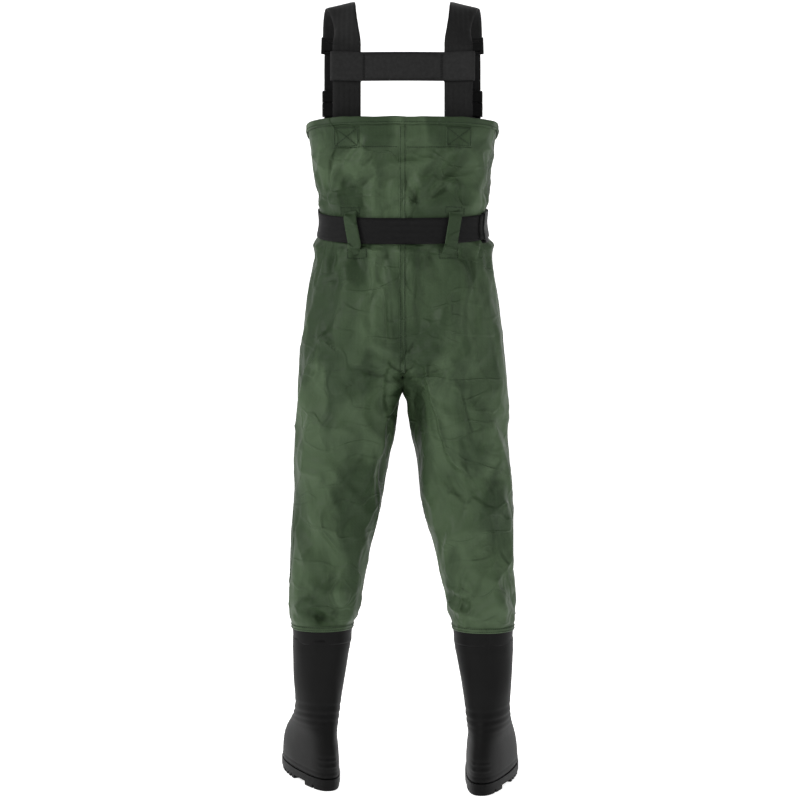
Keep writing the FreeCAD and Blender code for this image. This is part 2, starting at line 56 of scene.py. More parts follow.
# Height, outer edge, half depth, inner edge and roundness of one side's outline.
# A negative inner edge means that the two sides meet in the middle.
LEVELS = [
    (285.0, 218.5, 70.0, 99.5, 2.1),
    (310.0, 219.0, 73.0, 99.0, 2.1),
    (338.0, 221.0, 76.0, 94.0, 2.1),
    (398.0, 223.0, 80.0, 80.0, 2.1),
    (468.0, 222.0, 86.0, 65.0, 2.1),
    (558.0, 219.0, 94.0, 42.0, 2.1),
    (658.0, 215.0, 104.0, 25.0, 2.1),
    (698.0, 212.0, 108.0, 16.0, 2.1),
    (758.0, 209.0, 116.0, 8.0, 2.15),
    (786.0, 208.0, 122.0, 0.5, 2.2),
    (818.0, 206.0, 128.0, -28.0, 2.3),
    (878.0, 200.0, 135.0, -100.0, 2.4),
    (958.0, 191.0, 134.0, -191.0, 2.5),
    (1038.0, 178.0, 121.5, -178.0, 2.6),
    (1078.0, 170.0, 117.8, -170.0, 2.7),
    (1117.0, 163.0, 117.0, -163.0, 2.8),
    (1150.0, 166.0, 118.0, -166.0, 2.9),
    (1178.0, 169.0, 120.5, -169.0, 3.0),
    (1222.0, 174.0, 126.0, -174.0, 3.1),
    (1258.0, 180.0, 132.0, -180.0, 3.2),
    (1302.0, 190.0, 138.0, -190.0, 3.2),
]
BIB_TOP = 1302.0
CROTCH = 786.0
FABRIC_END = 312.0
CUT_HEIGHT = 545.0
WAIST = 1117.0
WAIST_SLOPE = 0.30
WAIST_REACH = 130.0
WAIST_FLAT = 30.0
LEG_SETBACK = 28.0
STANCE = 18.0
HIP_HEIGHT = 655.0
BOOT_TOP = 310.0
BELT_HALF = 25.0
ROW_STEP = 4.7
COLUMNS = 116
OUTLINE_POINTS = 241
FOLD_SCALE = 1.38
BACK_FOLD_SCALE = 1.25

# Long folds behind the wearer: both ends across and up, then width and height.
BACK_FOLDS = [
    (-108, 1205, -86, 1140, 11, -5.0),
    (-124, 1196, -112, 1142, 13, 4.0),
    (-74, 1148, -60, 1118, 9, -3.5),
    (-26, 1132, 2, 1146, 8, -4.5),
    (6, 1190, 36, 1122, 10, -4.5),
    (22, 1200, 56, 1128, 12, 3.5),
    (76, 1160, 52, 1122, 9, 3.5),
    (120, 1256, 160, 1180, 12, 3.5),
    (138, 1222, 152, 1158, 10, -3.5),
    (-30, 1056, -50, 968, 12, -5.5),
    (-8, 1050, -24, 960, 12, 4.5),
    (52, 1056, 68, 1000, 11, -4.5),
    (34, 1054, 42, 990, 12, 4.0),
    (118, 1058, 150, 990, 12, -4.5),
    (96, 1052, 120, 968, 14, 4.0),
    (-146, 1062, -128, 990, 12, -4.0),
    (-118, 1054, -104, 974, 13, 4.0),
    (-24, 960, -12, 880, 11, -3.5),
    (22, 930, 30, 850, 13, 3.5),
    (-5, 806, -60, 822, 13, -5.0),
    (-8, 798, -70, 770, 12, 4.5),
    (8, 818, 84, 828, 14, -5.0),
    (10, 806, 120, 780, 13, 4.5),
    (-6, 788, -52, 720, 12, -4.5),
    (14, 776, 60, 690, 13, -4.0),
    (-116, 768, -40, 672, 16, 4.5),
    (-96, 640, -120, 545, 20, -5.0),
    (-60, 620, -92, 520, 16, 4.0),
    (108, 668, 190, 642, 12, 4.0),
    (98, 614, 188, 606, 11, -4.0),
    (60, 660, 110, 560, 18, -4.5),
    (-190, 362, -128, 394, 11, 5.0),
    (-128, 394, -92, 360, 11, 4.5),
    (-160, 338, -104, 360, 10, -5.0),
    (176, 440, 184, 354, 12, 4.5),
    (150, 394, 100, 340, 12, -4.5),
    (94, 520, 150, 408, 14, 4.0),
    (190, 380, 120, 330, 9, 4.0),
    (-200, 470, -150, 430, 14, 3.5),
]


def row(x, y, height):
    """From millimetres across, forward and above the soles to the frame's metres."""
    return Vector((x / 1000.0, y / 1000.0, (height - SHOULDER_HEIGHT) / 1000.0))


def between(rows, height, column):
    """Smooth value of one column of a table at any height."""
    last = len(rows) - 1
    i = 0
    while i < last - 1 and rows[i + 1][0] < height:
        i = i + 1
    z0, z1 = rows[i][0], rows[i + 1][0]
    v0, v1 = rows[i][column], rows[i + 1][column]
    t = min(max((height - z0) / (z1 - z0), 0.0), 1.0)
    before = rows[max(i - 1, 0)]
    after = rows[min(i + 2, last)]
    m0 = (v1 - before[column]) / (z1 - before[0])
    m1 = (after[column] - v0) / (after[0] - z0)
    span = z1 - z0
    a = 2 * t ** 3 - 3 * t ** 2 + 1
    b = t ** 3 - 2 * t ** 2 + t
    c = 3 * t ** 2 - 2 * t ** 3
    d = t ** 3 - t ** 2
    return a * v0 + b * span * m0 + c * v1 + d * span * m1


def ease(t):
    """Smooth step from 0 to 1."""
    t = min(max(t, 0.0), 1.0)
    return t * t * (3 - 2 * t)


def leg_centre(height, side):
    """How far forward a leg's middle stands: both go back, and one steps ahead."""
    back = -LEG_SETBACK * ease((HIP_HEIGHT - height) / (HIP_HEIGHT - BOOT_TOP))
    step = -side * STANCE * min(max((HIP_HEIGHT - height) / HIP_HEIGHT, 0.0), 1.0)
    return back + step


def waist_slope(height):
    """Tilt of the outlines near the waist, where the belt sits lower behind."""
    t = (height - WAIST) / WAIST_REACH
    return 0.0 if abs(t) >= 1.0 else WAIST_SLOPE * math.cos(t * math.pi / 2) ** 2


def waist_lift(y):
    """Distance that the tilt works on, levelling out in front."""
    return y if y < 0 else WAIST_FLAT * (1 - math.exp(-y / WAIST_FLAT))


def signed_power(value, power):
    """Power of a number's size, with the number's own sign."""
    return math.copysign(abs(value) ** power, value)


def section(height, side, grow=0.0, count=OUTLINE_POINTS):
    """Points (x, y, z, nx, ny) of one side's outline, from the back seam round to the front."""
    outer = between(LEVELS, height, 1) + grow
    depth = between(LEVELS, height, 2) + grow
    inner = between(LEVELS, height, 3) - grow
    power = between(LEVELS, height, 4)
    middle = (outer + inner) / 2
    half = (outer - inner) / 2
    if inner < 0:
        start = math.acos(max(-1.0, -signed_power(middle / half, power / 2)))
    else:
        start = math.pi
    forward = leg_centre(height, side)
    slope = waist_slope(height)
    points = []
    for i in range(count):
        turn = -start + 2 * start * i / (count - 1)
        across = signed_power(math.cos(turn), 2 / power)
        along = signed_power(math.sin(turn), 2 / power)
        x = middle + half * across
        y = depth * along
        nx = signed_power(across, power - 1) / half
        ny = signed_power(along, power - 1) / depth
        size = math.hypot(nx, ny) or 1.0
        z = height + slope * waist_lift(y)
        points.append((side * x, forward + y, z, side * nx / size, ny / size))
    return points


def resample(points, count):
    """The same outline at even spacing."""
    data = np.array(points)
    steps = np.hypot(np.diff(data[:, 0]), np.diff(data[:, 1]))
    run = np.concatenate(([0.0], np.cumsum(steps)))
    want = np.linspace(0.0, run[-1], count)
    return np.stack([np.interp(want, run, data[:, k]) for k in range(5)], axis=1)


def rough(x, y, z):
    """Smooth noise, about -1 to 1."""
    return noise.noise(Vector((x, y, z)))


def line_fold(x, h, fold):
    """Height of one long soft fold at a point."""
    x0, h0, x1, h1, width, rise = fold
    dx = x1 - x0
    dh = h1 - h0
    size = dx * dx + dh * dh
    t = min(max(((x - x0) * dx + (h - h0) * dh) / size, 0.0), 1.0)
    far = (x - x0 - dx * t) ** 2 + (h - h0 - dh * t) ** 2
    taper = 1.0 - 0.35 * abs(2 * t - 1.0)
    return rise * taper * math.exp(-far / (width * width))


def billow(x, y, z):
    """Round swells with sharp valleys between them, from 0 up."""
    return 2.0 * abs(rough(x, y, z))


def ridge(x, y, z):
    """Pinched ridges between soft hollows, about -1 to 1."""
    return 1.0 - 4.0 * abs(rough(x, y, z))


def pinch(x, y, z):
    """Thin raised lines where the cloth is creased."""
    return math.exp(-abs(rough(x, y, z)) * 15.0)


def pleats(x, y, h, belt):
    """Gathers that the belt pulls into the cloth, fading away from it."""
    bend = 9.0 * rough(x / 60.0, y / 60.0, h / 90.0)
    gap = abs(belt) - BELT_HALF
    if belt > 0:
        fade = math.exp(-gap / 46.0)
        return 15.0 * fade * (billow((x + bend) / 40.0, y / 40.0, h / 170.0) - 0.36)
    fade = math.exp(-gap / 78.0)
    return 22.0 * fade * (billow((x + bend) / 35.0, y / 35.0, h / 330.0) - 0.36)


def crumples(x, y, h, level):
    """Creases all over the coated cloth, larger on the legs."""
    legs = ease((1010.0 - level) / 160.0)
    bib = ease((level - 1130.0) / 60.0)
    wx = x + 26.0 * rough(x / 90.0, y / 90.0, h / 90.0 + 3.0)
    wh = h + 34.0 * rough(x / 90.0 + 7.0, y / 90.0, h / 90.0)
    out = 5.0 * bib * ridge((wx + 0.35 * wh) / 88.0, y / 95.0, (wh - 0.3 * wx) / 66.0)
    out += 2.6 * bib * ridge((wx - 0.6 * wh) / 46.0, y / 60.0, wh / 52.0 + 11.0)
    out += 5.2 * legs * ridge((wx - 0.25 * wh) / 96.0, y / 90.0, wh / 170.0 + 5.0)
    out += 3.0 * legs * ridge((wx + 0.5 * wh) / 64.0, y / 70.0, wh / 110.0 + 9.0)
    gate = ease(0.5 + 1.9 * rough(x / 75.0 + 2.0, y / 75.0, h / 75.0))
    out += 3.6 * bib * gate * pinch((wx - 0.45 * wh) / 70.0, y / 80.0, (wh + 0.3 * wx) / 90.0 + 21.0)
    out += 4.8 * legs * gate * pinch((wx + 0.3 * wh) / 80.0, y / 90.0, (wh - wx) / 190.0 + 31.0)
    out -= 3.4 * legs * (1 - gate) * pinch((wx - 0.4 * wh) / 76.0, y / 80.0, wh / 170.0 + 51.0)
    out += 0.8 * ridge(wx / 36.0, y / 36.0, wh / 44.0 + 40.0)
    return out


def folds(x, y, h, level):
    """How far the cloth stands proud of its smooth shape, in millimetres."""
    belt = level - WAIST
    hold_belt = ease((abs(belt) - 26.0) / 20.0)
    hold_top = ease((BIB_TOP - 8.0 - level) / 60.0)
    hold_boot = ease((level - 317.0) / 18.0)
    out = pleats(x, y, h, belt)
    out += 3.5 * math.exp(-((abs(belt) - 42.0) / 14.0) ** 2)
    out += crumples(x, y, h, level)
    crotch = math.exp(-((x / 110.0) ** 2 + ((h - 790.0) / 85.0) ** 2))
    reach = math.hypot(x, h - 800.0) / 120.0
    bearing = math.atan2(h - 800.0, abs(x) + 8.0) * 3.1
    out += 10.0 * crotch * (billow(bearing, reach, 3.0 + y / 120.0) - 0.3)
    shin = math.exp(-((level - 358.0) / 50.0) ** 2)
    out += 5.0 * shin * ridge(x / 90.0, y / 90.0, h / 36.0 + x / 80.0)
    mirror = 1.0 if y < leg_centre(level, 1 if x > 0 else -1) else -1.0
    strength = ease((abs(y) - 25.0) / 60.0) if level > 700 else ease((abs(y + 20) - 12.0) / 40.0)
    for fold in BACK_FOLDS:
        out += BACK_FOLD_SCALE * strength * line_fold(mirror * x, h, fold)
    return FOLD_SCALE * out * hold_belt * hold_top * hold_boot


def hang(level, ny):
    """How much of the folds shows: all of them in front and behind, less at the sides."""
    calm = ease((1085.0 - level) / 60.0)
    return 1.0 - (0.45 + 0.33 * calm) * (1.0 - abs(ny) ** 0.8)


def cloth_rows():
    """Levels of the cloth mesh, closer together where the legs part."""
    rows = list(np.arange(FABRIC_END, CUT_HEIGHT - 3, ROW_STEP))
    rows.append(CUT_HEIGHT)
    rows += list(np.arange(CUT_HEIGHT + ROW_STEP, CROTCH - 4, ROW_STEP))
    rows += [CROTCH + up for up in (0.0, 1.2, 3.5, 7.0, 12.0, 18.0)]
    rows += list(np.arange(CROTCH + 23.0, BIB_TOP - 3, ROW_STEP))
    rows.append(BIB_TOP)
    return [float(r) for r in rows]


def without_repeats(ring):
    """The same corners with each one named once."""
    clean = []
    for v in ring:
        if v not in clean:
            clean.append(v)
    return clean


def garment():
    """The whole cloth as one mesh, both sides sharing their points where they meet."""
    rows = cloth_rows()
    index = {}
    verts = []
    for side in (-1, 1):
        for j, level in enumerate(rows):
            line = resample(section(level, side), COLUMNS)
            for i in range(COLUMNS):
                x, y, z, nx, ny = line[i]
                key = (side, j, i)
                if level <= CROTCH and i == COLUMNS - 1:
                    index[key] = index[(side, j, 0)]
                    continue
                if level > CROTCH and i in (0, COLUMNS - 1):
                    x = 0.0
                    if side > 0:
                        index[key] = index[(-1, j, i)]
                        continue
                proud = folds(x, y, z, level) * hang(level, ny)
                index[key] = len(verts)
                verts.append(row(x + nx * proud, y + ny * proud, z))
    faces = []
    for side in (-1, 1):
        for j in range(len(rows) - 1):
            for i in range(COLUMNS - 1):
                corners = ((j, i), (j, i + 1), (j + 1, i + 1), (j + 1, i))
                ring = [index[(side, *corner)] for corner in corners]
                if side < 0:
                    ring.reverse()
                ring = without_repeats(ring)
                if len(ring) > 2:
                    faces.append(ring)
    return verts, faces


# ---- meshes

def make_object(name, verts, faces):
    """A smooth-shaded mesh object from points and faces."""
    mesh = bpy.data.meshes.new(name)
    mesh.from_pydata([tuple(v) for v in verts], [], faces)
    mesh.validate()
    for p in mesh.polygons:
        p.use_smooth = True
    obj = bpy.data.objects.new(name, mesh)
    bpy.context.collection.objects.link(obj)
    return obj


def grid_faces(rows, width, flip):
    """Faces of a sheet of points laid row by row."""
    faces = []
    for j in range(rows - 1):
        for i in range(width - 1):
            a = j * width + i
            quad = (a, a + 1, a + width + 1, a + width)
            faces.append(tuple(reversed(quad)) if flip else quad)
    return faces


def tube_faces(count, sides, capped=False, closed=False):
    """Faces between rings of points, with end caps or with the last ring joined to the first."""
    faces = []
    for i in range(count if closed else count - 1):
        here = i * sides
        there = (i + 1) % count * sides
        for k in range(sides):
            n = (k + 1) % sides
            faces.append((here + k, here + n, there + n, there + k))
    if capped:
        faces.append(tuple(reversed(range(sides))))
        faces.append(tuple((count - 1) * sides + k for k in range(sides)))
    return faces


def outward(obj, centre=None):
    """Turn every face outward; an open mesh needs a centre to tell which way that is."""
    bm = bmesh.new()
    bm.from_mesh(obj.data)
    bmesh.ops.recalc_face_normals(bm, faces=bm.faces)
    if centre is not None:
        outermost = max(bm.faces, key=lambda f: abs(f.calc_center_median().x - centre.x))
        if outermost.normal.dot(outermost.calc_center_median() - centre) < 0:
            bmesh.ops.reverse_faces(bm, faces=bm.faces)
    bm.to_mesh(obj.data)
    bm.free()


def thicken(obj, thick):
    """Give a sheet a wall on its inner side, in metres."""
    wall = obj.modifiers.new("wall", "SOLIDIFY")
    wall.thickness = thick
    wall.offset = -1.0
    wall.use_rim = True
    graph = bpy.context.evaluated_depsgraph_get()
    mesh = bpy.data.meshes.new_from_object(obj.evaluated_get(graph))
    obj.modifiers.clear()
    obj.data = mesh


# ---- materials

def new_material(name):
    """A node material, its node tree and its shader."""
    material = bpy.data.materials.new(name)
    material.use_nodes = True
    tree = material.node_tree
    shader = tree.nodes["Principled BSDF"]
    return material, tree, shader


def node(tree, kind, **values):
    """A shader node with some of its settings filled in."""
    made = tree.nodes.new(kind)
    for key, value in values.items():
        setattr(made, key, value)
    return made


def fill(made, **values):
    """Set a node's inputs; an underscore in a key stands for a space."""
    for key, value in values.items():
        made.inputs[key.replace("_", " ")].default_value = value


def noise_node(tree, scale, detail=4.0, stretch=(1, 1, 1)):
    """Noise over the object's own metres."""
    place = node(tree, "ShaderNodeTexCoord")
    mapping = node(tree, "ShaderNodeMapping")
    fill(mapping, Scale=stretch)
    tree.links.new(place.outputs["Object"], mapping.inputs["Vector"])
    texture = node(tree, "ShaderNodeTexNoise")
    fill(texture, Scale=scale, Detail=detail)
    tree.links.new(mapping.outputs["Vector"], texture.inputs["Vector"])
    return texture


def ramp_between(tree, source, low, high, start=0.35, end=0.65):
    """Colour that runs from low to high as the source goes from start to end."""
    ramp = node(tree, "ShaderNodeValToRGB")
    ramp.color_ramp.elements[0].position = start
    ramp.color_ramp.elements[1].position = end
    ramp.color_ramp.elements[0].color = (*low, 1.0)
    ramp.color_ramp.elements[1].color = (*high, 1.0)
    tree.links.new(source, ramp.inputs["Fac"])
    return ramp


def value_between(tree, source, low, high):
    """Number that runs from low to high with the source."""
    scale = node(tree, "ShaderNodeMapRange")
    fill(scale, To_Min=low, To_Max=high)
    tree.links.new(source, scale.inputs["Value"])
    return scale.outputs["Result"]


def weave_height(tree, pitch, direction="both"):
    """Over-and-under threads at a real pitch in metres."""
    place = node(tree, "ShaderNodeTexCoord")
    outputs = []
    axes = {"both": ("X", "Z"), "rib": ("Z",), "across": ("X",)}[direction]
    for axis in axes:
        wave = node(tree, "ShaderNodeTexWave", wave_type="BANDS", bands_direction=axis)
        fill(wave, Scale=1.0 / (pitch * 20.0), Distortion=0.4, Detail=1.0)
        tree.links.new(place.outputs["Object"], wave.inputs["Vector"])
        outputs.append(wave.outputs["Fac"])
    if len(outputs) == 1:
        return outputs[0]
    mix = node(tree, "ShaderNodeMath", operation="MULTIPLY")
    tree.links.new(outputs[0], mix.inputs[0])
    tree.links.new(outputs[1], mix.inputs[1])
    return mix.outputs[0]


def bump(tree, shader, source, distance, strength=1.0, under=None):
    """Relief on the shader, in metres, on top of an earlier one if there is any."""
    made = node(tree, "ShaderNodeBump")
    fill(made, Distance=distance, Strength=strength)
    tree.links.new(source, made.inputs["Height"])
    if under is not None:
        tree.links.new(under.outputs["Normal"], made.inputs["Normal"])
    tree.links.new(made.outputs["Normal"], shader.inputs["Normal"])
    return made


def crease_lines(tree, scale, stretch, width):
    """Thin raised lines that wander over the cloth, 1 on a line and 0 off it."""
    texture = noise_node(tree, scale, 1.0, stretch)
    fill(texture, Distortion=0.8)
    middle = node(tree, "ShaderNodeMath", operation="SUBTRACT")
    middle.inputs[1].default_value = 0.5
    tree.links.new(texture.outputs["Fac"], middle.inputs[0])
    away = node(tree, "ShaderNodeMath", operation="ABSOLUTE")
    tree.links.new(middle.outputs[0], away.inputs[0])
    line = node(tree, "ShaderNodeMapRange", interpolation_type="SMOOTHSTEP")
    fill(line, From_Max=width, To_Min=1.0, To_Max=0.0)
    tree.links.new(away.outputs[0], line.inputs["Value"])
    return line.outputs["Result"]


def cloth_material(name, dark, light, roughness=(0.50, 0.66)):
    """Coated nylon: olive with painted highlight and shade patches, a fine weave and creases that
    catch light.
    """
    material, tree, shader = new_material(name)
    # Broad noise patches run the base colour between a darker and a lighter olive: painted shade and
    # painted sheen standing in for light on the folds, not a mottle in the cloth.
    patches = noise_node(tree, 10.0, 4.0, (1.0, 1.0, 0.38))
    fill(patches, Distortion=0.9)
    ramp = ramp_between(tree, patches.outputs["Fac"], dark, light, 0.42, 0.58)
    tree.links.new(ramp.outputs["Color"], shader.inputs["Base Color"])
    grime = noise_node(tree, 19.0, 6.0)
    tree.links.new(value_between(tree, grime.outputs["Fac"], *roughness), shader.inputs["Roughness"])
    fill(shader, Specular_IOR_Level=0.17)
    crease = noise_node(tree, 26.0, 8.0, (1.0, 1.0, 0.7))
    first = bump(tree, shader, crease.outputs["Fac"], 0.0030, 0.8)
    long_lines = crease_lines(tree, 7.5, (1.0, 1.0, 0.5), 0.075)
    second = bump(tree, shader, long_lines, 0.0055, 0.75, first)
    short_lines = crease_lines(tree, 13.0, (0.7, 0.7, 1.2), 0.06)
    third = bump(tree, shader, short_lines, 0.0022, 0.6, second)
    fine = weave_height(tree, 0.0011)
    bump(tree, shader, fine, 0.00012, 0.8, third)
    return material


def web_material(name, colour, pitch, direction="rib", roughness=0.75, depth=0.0004):
    """Woven webbing with ribs at a real pitch."""
    material, tree, shader = new_material(name)
    fibres = noise_node(tree, 160.0, 4.0)
    low = tuple(c * 0.86 for c in colour)
    high = tuple(c * 1.16 for c in colour)
    ramp = ramp_between(tree, fibres.outputs["Fac"], low, high)
    tree.links.new(ramp.outputs["Color"], shader.inputs["Base Color"])
    fill(shader, Roughness=roughness, Sheen_Weight=0.02, Specular_IOR_Level=0.15)
    ribs = weave_height(tree, pitch, direction)
    first = bump(tree, shader, ribs, depth, 0.9)
    bump(tree, shader, fibres.outputs["Fac"], 0.0002, 0.5, first)
    return material


def rubber_material(name, colour, roughness=(0.38, 0.55)):
    """Moulded PVC: fine pebble grain and soft smears of gloss."""
    material, tree, shader = new_material(name)
    smear = noise_node(tree, 9.0, 5.0)
    low = tuple(c * 0.8 for c in colour)
    high = tuple(c * 1.25 for c in colour)
    ramp = ramp_between(tree, smear.outputs["Fac"], low, high)
    tree.links.new(ramp.outputs["Color"], shader.inputs["Base Color"])
    tree.links.new(value_between(tree, smear.outputs["Fac"], *roughness), shader.inputs["Roughness"])
    fill(shader, Specular_IOR_Level=0.115)
    grain = noise_node(tree, 620.0, 2.0)
    first = bump(tree, shader, grain.outputs["Fac"], 0.00018, 0.5)
    soft = noise_node(tree, 34.0, 3.0)
    bump(tree, shader, soft.outputs["Fac"], 0.0006, 0.5, first)
    return material


# The two colours are the painted shade end and the painted highlight end of the cloth's patches.
GREEN = cloth_material("green_fabric", (0.0255, 0.0440, 0.0200), (0.0530, 0.0830, 0.0420))
THREAD = web_material("green_thread", (0.017, 0.029, 0.015), 0.0006)
ELASTIC = web_material("black_elastic", (0.0088, 0.0088, 0.0088), 0.0016, "across")
YOKE = web_material("grey_elastic", (0.0155, 0.0155, 0.0155), 0.0022, "rib")
WEBBING = web_material("black_webbing", (0.0040, 0.0040, 0.0041), 0.0019, "rib", 0.7, 0.0005)
RUBBER = rubber_material("black_rubber", (0.0030, 0.0030, 0.0030), (0.50, 0.66))
PLASTIC = rubber_material("black_plastic", (0.005, 0.005, 0.005), (0.36, 0.48))
FOAM = web_material("insole_foam", (0.04, 0.04, 0.04), 0.002, "both")


def paint(obj, material):
    """Give a piece its material."""
    obj.data.materials.clear()
    obj.data.materials.append(material)


# ---- the cloth

CLOTH_THICK = 0.0014


def open_edges(quads):
    """Edges that only one face uses."""
    edges = {}
    for q in quads:
        for a, b in zip(q, q[1:] + q[:1]):
            edges[(a, b)] = True
    return [(a, b) for (a, b) in edges if (b, a) not in edges]


def split_cloth():
    """Build the cloth, then part it into four pieces, left and right, above and below the cut height.
    """
    verts, faces = garment()
    whole = make_object("cloth_whole", verts, faces)
    mesh = whole.data
    normals = [v.normal.copy() for v in mesh.vertices]
    places = [v.co.copy() for v in mesh.vertices]
    tree = BVHTree.FromPolygons(places, [tuple(p.vertices) for p in mesh.polygons])
    cut = row(0, 0, CUT_HEIGHT).z
    groups = {}
    for p in mesh.polygons:
        c = p.center
        key = ("left" if c.x < 0 else "right", "upper" if c.z > cut else "lower")
        groups.setdefault(key, []).append(tuple(p.vertices))
    made = {}
    for (side, part), polys in groups.items():
        used = sorted({v for p in polys for v in p})
        remap = {v: i for i, v in enumerate(used)}
        count = len(used)
        outer = [places[v] for v in used]
        inner = [places[v] - normals[v] * CLOTH_THICK for v in used]
        quads = [tuple(remap[v] for v in p) for p in polys]
        back = [tuple(reversed([i + count for i in q])) for q in quads]
        rim = [(b, a, a + count, b + count) for a, b in open_edges(quads)]
        piece = make_object("cloth_" + side + "_" + part, outer + inner, quads + back + rim)
        shades = [normals[v] for v in used] + [-normals[v] for v in used]
        piece.data.normals_split_custom_set_from_vertices([tuple(n) for n in shades])
        paint(piece, GREEN)
        made[(side, part)] = piece
    bpy.data.objects.remove(whole)
    return made, tree


CLOTH, CLOTH_TREE = split_cloth()


def on_cloth(x, height, front=False, lift=0.0):
    """Point on the cloth's outside behind or in front, and its outward normal."""
    start = row(x, 600 if front else -600, height)
    hit = CLOTH_TREE.ray_cast(start, Vector((0, -1 if front else 1, 0)))
    place, normal = hit[0], hit[1]
    if normal.y * (1 if front else -1) < 0:
        normal = -normal
    return place + normal * lift / 1000.0, normal


def attach_cloth():
    """Hide the CAD panels that the cloth replaces and bake the four pieces' transforms in place."""
    for side in ("left", "right"):
        upper = CLOTH[(side, "upper")]
        lower = CLOTH[(side, "lower")]
        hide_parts(side + "_body_panel", side + "_thigh_panel")
        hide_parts(side + "_shin_panel")
        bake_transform(upper)
        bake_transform(lower)


attach_cloth()


# ---- ribbons and stitches

STITCH_LENGTH = 0.0034
STITCH_GAP = 0.0012
STITCH_RADIUS = 0.00055
STITCH_SIDES = 5
LINE_STEP = 3.0


def spline(points, steps):
    """Points of a smooth line through the given ones."""
    out = []
    for i in range(len(points) - 1):
        p0 = points[max(i - 1, 0)]
        p1 = points[i]
        p2 = points[i + 1]
        p3 = points[min(i + 2, len(points) - 1)]
        for k in range(steps):
            t = k / steps
            a = p1 * 2
            b = (p2 - p0) * t
            c = (p0 * 2 - p1 * 5 + p2 * 4 - p3) * t * t
            d = (p1 * 3 - p0 - p2 * 3 + p3) * t ** 3
            out.append((a + b + c + d) * 0.5)
    out.append(points[-1])
    return out


def roll_at(rolls, share):
    """Twist in degrees at a share of the strap's run."""
    s = share * (len(rolls) - 1)
    k = min(int(s), len(rolls) - 2)
    return rolls[k] + (rolls[k + 1] - rolls[k]) * (s - k)


def flat_strip(name, path, across, width, thick, rolls=None, cells=6, steps=5):
    """A flat strap along a path, wide along the given direction."""
    points = spline(path, steps)
    count = len(points)
    edge_share = 0.45
    verts = []
    for i, p in enumerate(points):
        way = (points[min(i + 1, count - 1)] - points[max(i - 1, 0)]).normalized()
        wide = across - way * across.dot(way)
        wide.normalize()
        if rolls:
            roll = math.radians(roll_at(rolls, i / (count - 1)))
            wide = Matrix.Rotation(roll, 3, way) @ wide
        up = way.cross(wide)
        loop = [(k, 1) for k in range(cells + 1)] + [(k, -1) for k in range(cells, -1, -1)]
        for k, face in loop:
            t = 2 * k / cells - 1
            thin = thick / 2 * (edge_share if k in (0, cells) else 1.0)
            verts.append(p + wide * (width / 2 * t) + up * (face * thin))
    obj = make_object(name, verts, tube_faces(count, 2 * (cells + 1), capped=True))
    outward(obj)
    return obj


def thread_tube(points):
    """Vertices and faces of one short thread through points."""
    verts = []
    last = len(points) - 1
    for i, p in enumerate(points):
        way = (points[min(i + 1, last)] - points[max(i - 1, 0)]).normalized()
        side = way.cross(Vector((0.13, 0.21, 0.97)))
        side.normalize()
        up = way.cross(side)
        for k in range(STITCH_SIDES):
            a = 2 * math.pi * k / STITCH_SIDES
            verts.append(p + (side * math.cos(a) + up * math.sin(a)) * STITCH_RADIUS)
    return verts, tube_faces(len(points), STITCH_SIDES, capped=True)


def stitch_row(points):
    """Short threads laid along a line of points."""
    run = [0.0]
    for a, b in zip(points, points[1:]):
        run.append(run[-1] + (b - a).length)
    coords = np.array(points)
    parts = []
    at = 0.0
    while at + STITCH_LENGTH < run[-1]:
        spots = [at + STITCH_LENGTH * k / 2 for k in range(3)]
        ends = [Vector([float(np.interp(s, run, coords[:, c])) for c in range(3)]) for s in spots]
        parts.append(thread_tube(ends))
        at += STITCH_LENGTH + STITCH_GAP
    return parts


def join(name, parts):
    """One object from many small meshes."""
    verts = []
    faces = []
    for v, f in parts:
        base = len(verts)
        verts += v
        faces += [tuple(i + base for i in q) for q in f]
    return make_object(name, verts, faces)


def sew(name, parts, body="torso"):
    """Join green threads into one piece that rides on a body."""
    threads = join(name, parts)
    paint(threads, THREAD)
    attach(threads, body)


def straight(x0, h0, x1, h1):
    """Places across and up at small steps along a straight line."""
    count = max(2, int(math.hypot(x1 - x0, h1 - h0) / LINE_STEP))
    shares = [i / count for i in range(count + 1)]
    return [(x0 + (x1 - x0) * t, h0 + (h1 - h0) * t) for t in shares]


def cloth_stitches(x0, h0, x1, h1, front, lift):
    """Stitches along a straight line over the cloth."""
    line = straight(x0, h0, x1, h1)
    return stitch_row([on_cloth(x, h, front, lift)[0] for x, h in line])


def cloth_sheet(name, verts, rows, width, front, thick):
    """A green sheet of cloth from points laid row by row."""
    sheet = make_object(name, verts, grid_faces(rows, width, front))
    thicken(sheet, thick)
    paint(sheet, GREEN)
    return sheet


# ---- patches, seams and hem

PATCH_ROWS = 18
PATCH_COLUMNS = 22
PATCH_LIFT = 0.15
PATCH_RISE = 1.1
PATCH_TURN = 1.6
PATCH_THICK = 0.0009
PATCH_LOW = 1246.0
PATCH_HIGH = 1285.0
PATCH_INSET = 3.0
PATCH_STITCH_LIFT = 1.5
FRONT_PATCH = (142, 20)
BACK_PATCH = (108, 25)
SEAM_LOW = 812
SEAM_STEP = 4.0
SEAM_THICK = 0.0008
HEM_WAVE = 1.6
FACING_HEIGHT = 1245.5
FACING_REACH = 134


def patch_on_cloth(name, x0, x1, front):
    """A sewn patch that follows the cloth under it, with turned edges."""
    wide = x1 - x0
    tall = PATCH_HIGH - PATCH_LOW
    verts = []
    for j in range(PATCH_ROWS + 1):
        for i in range(PATCH_COLUMNS + 1):
            u = i / PATCH_COLUMNS
            v = j / PATCH_ROWS
            edge = min(min(u, 1 - u) * wide, min(v, 1 - v) * tall)
            rise = PATCH_LIFT + (PATCH_RISE - PATCH_LIFT) * ease(edge / PATCH_TURN)
            verts.append(on_cloth(x0 + wide * u, PATCH_LOW + tall * v, front, rise)[0])
    return cloth_sheet(name, verts, PATCH_ROWS + 1, PATCH_COLUMNS + 1, front, PATCH_THICK)


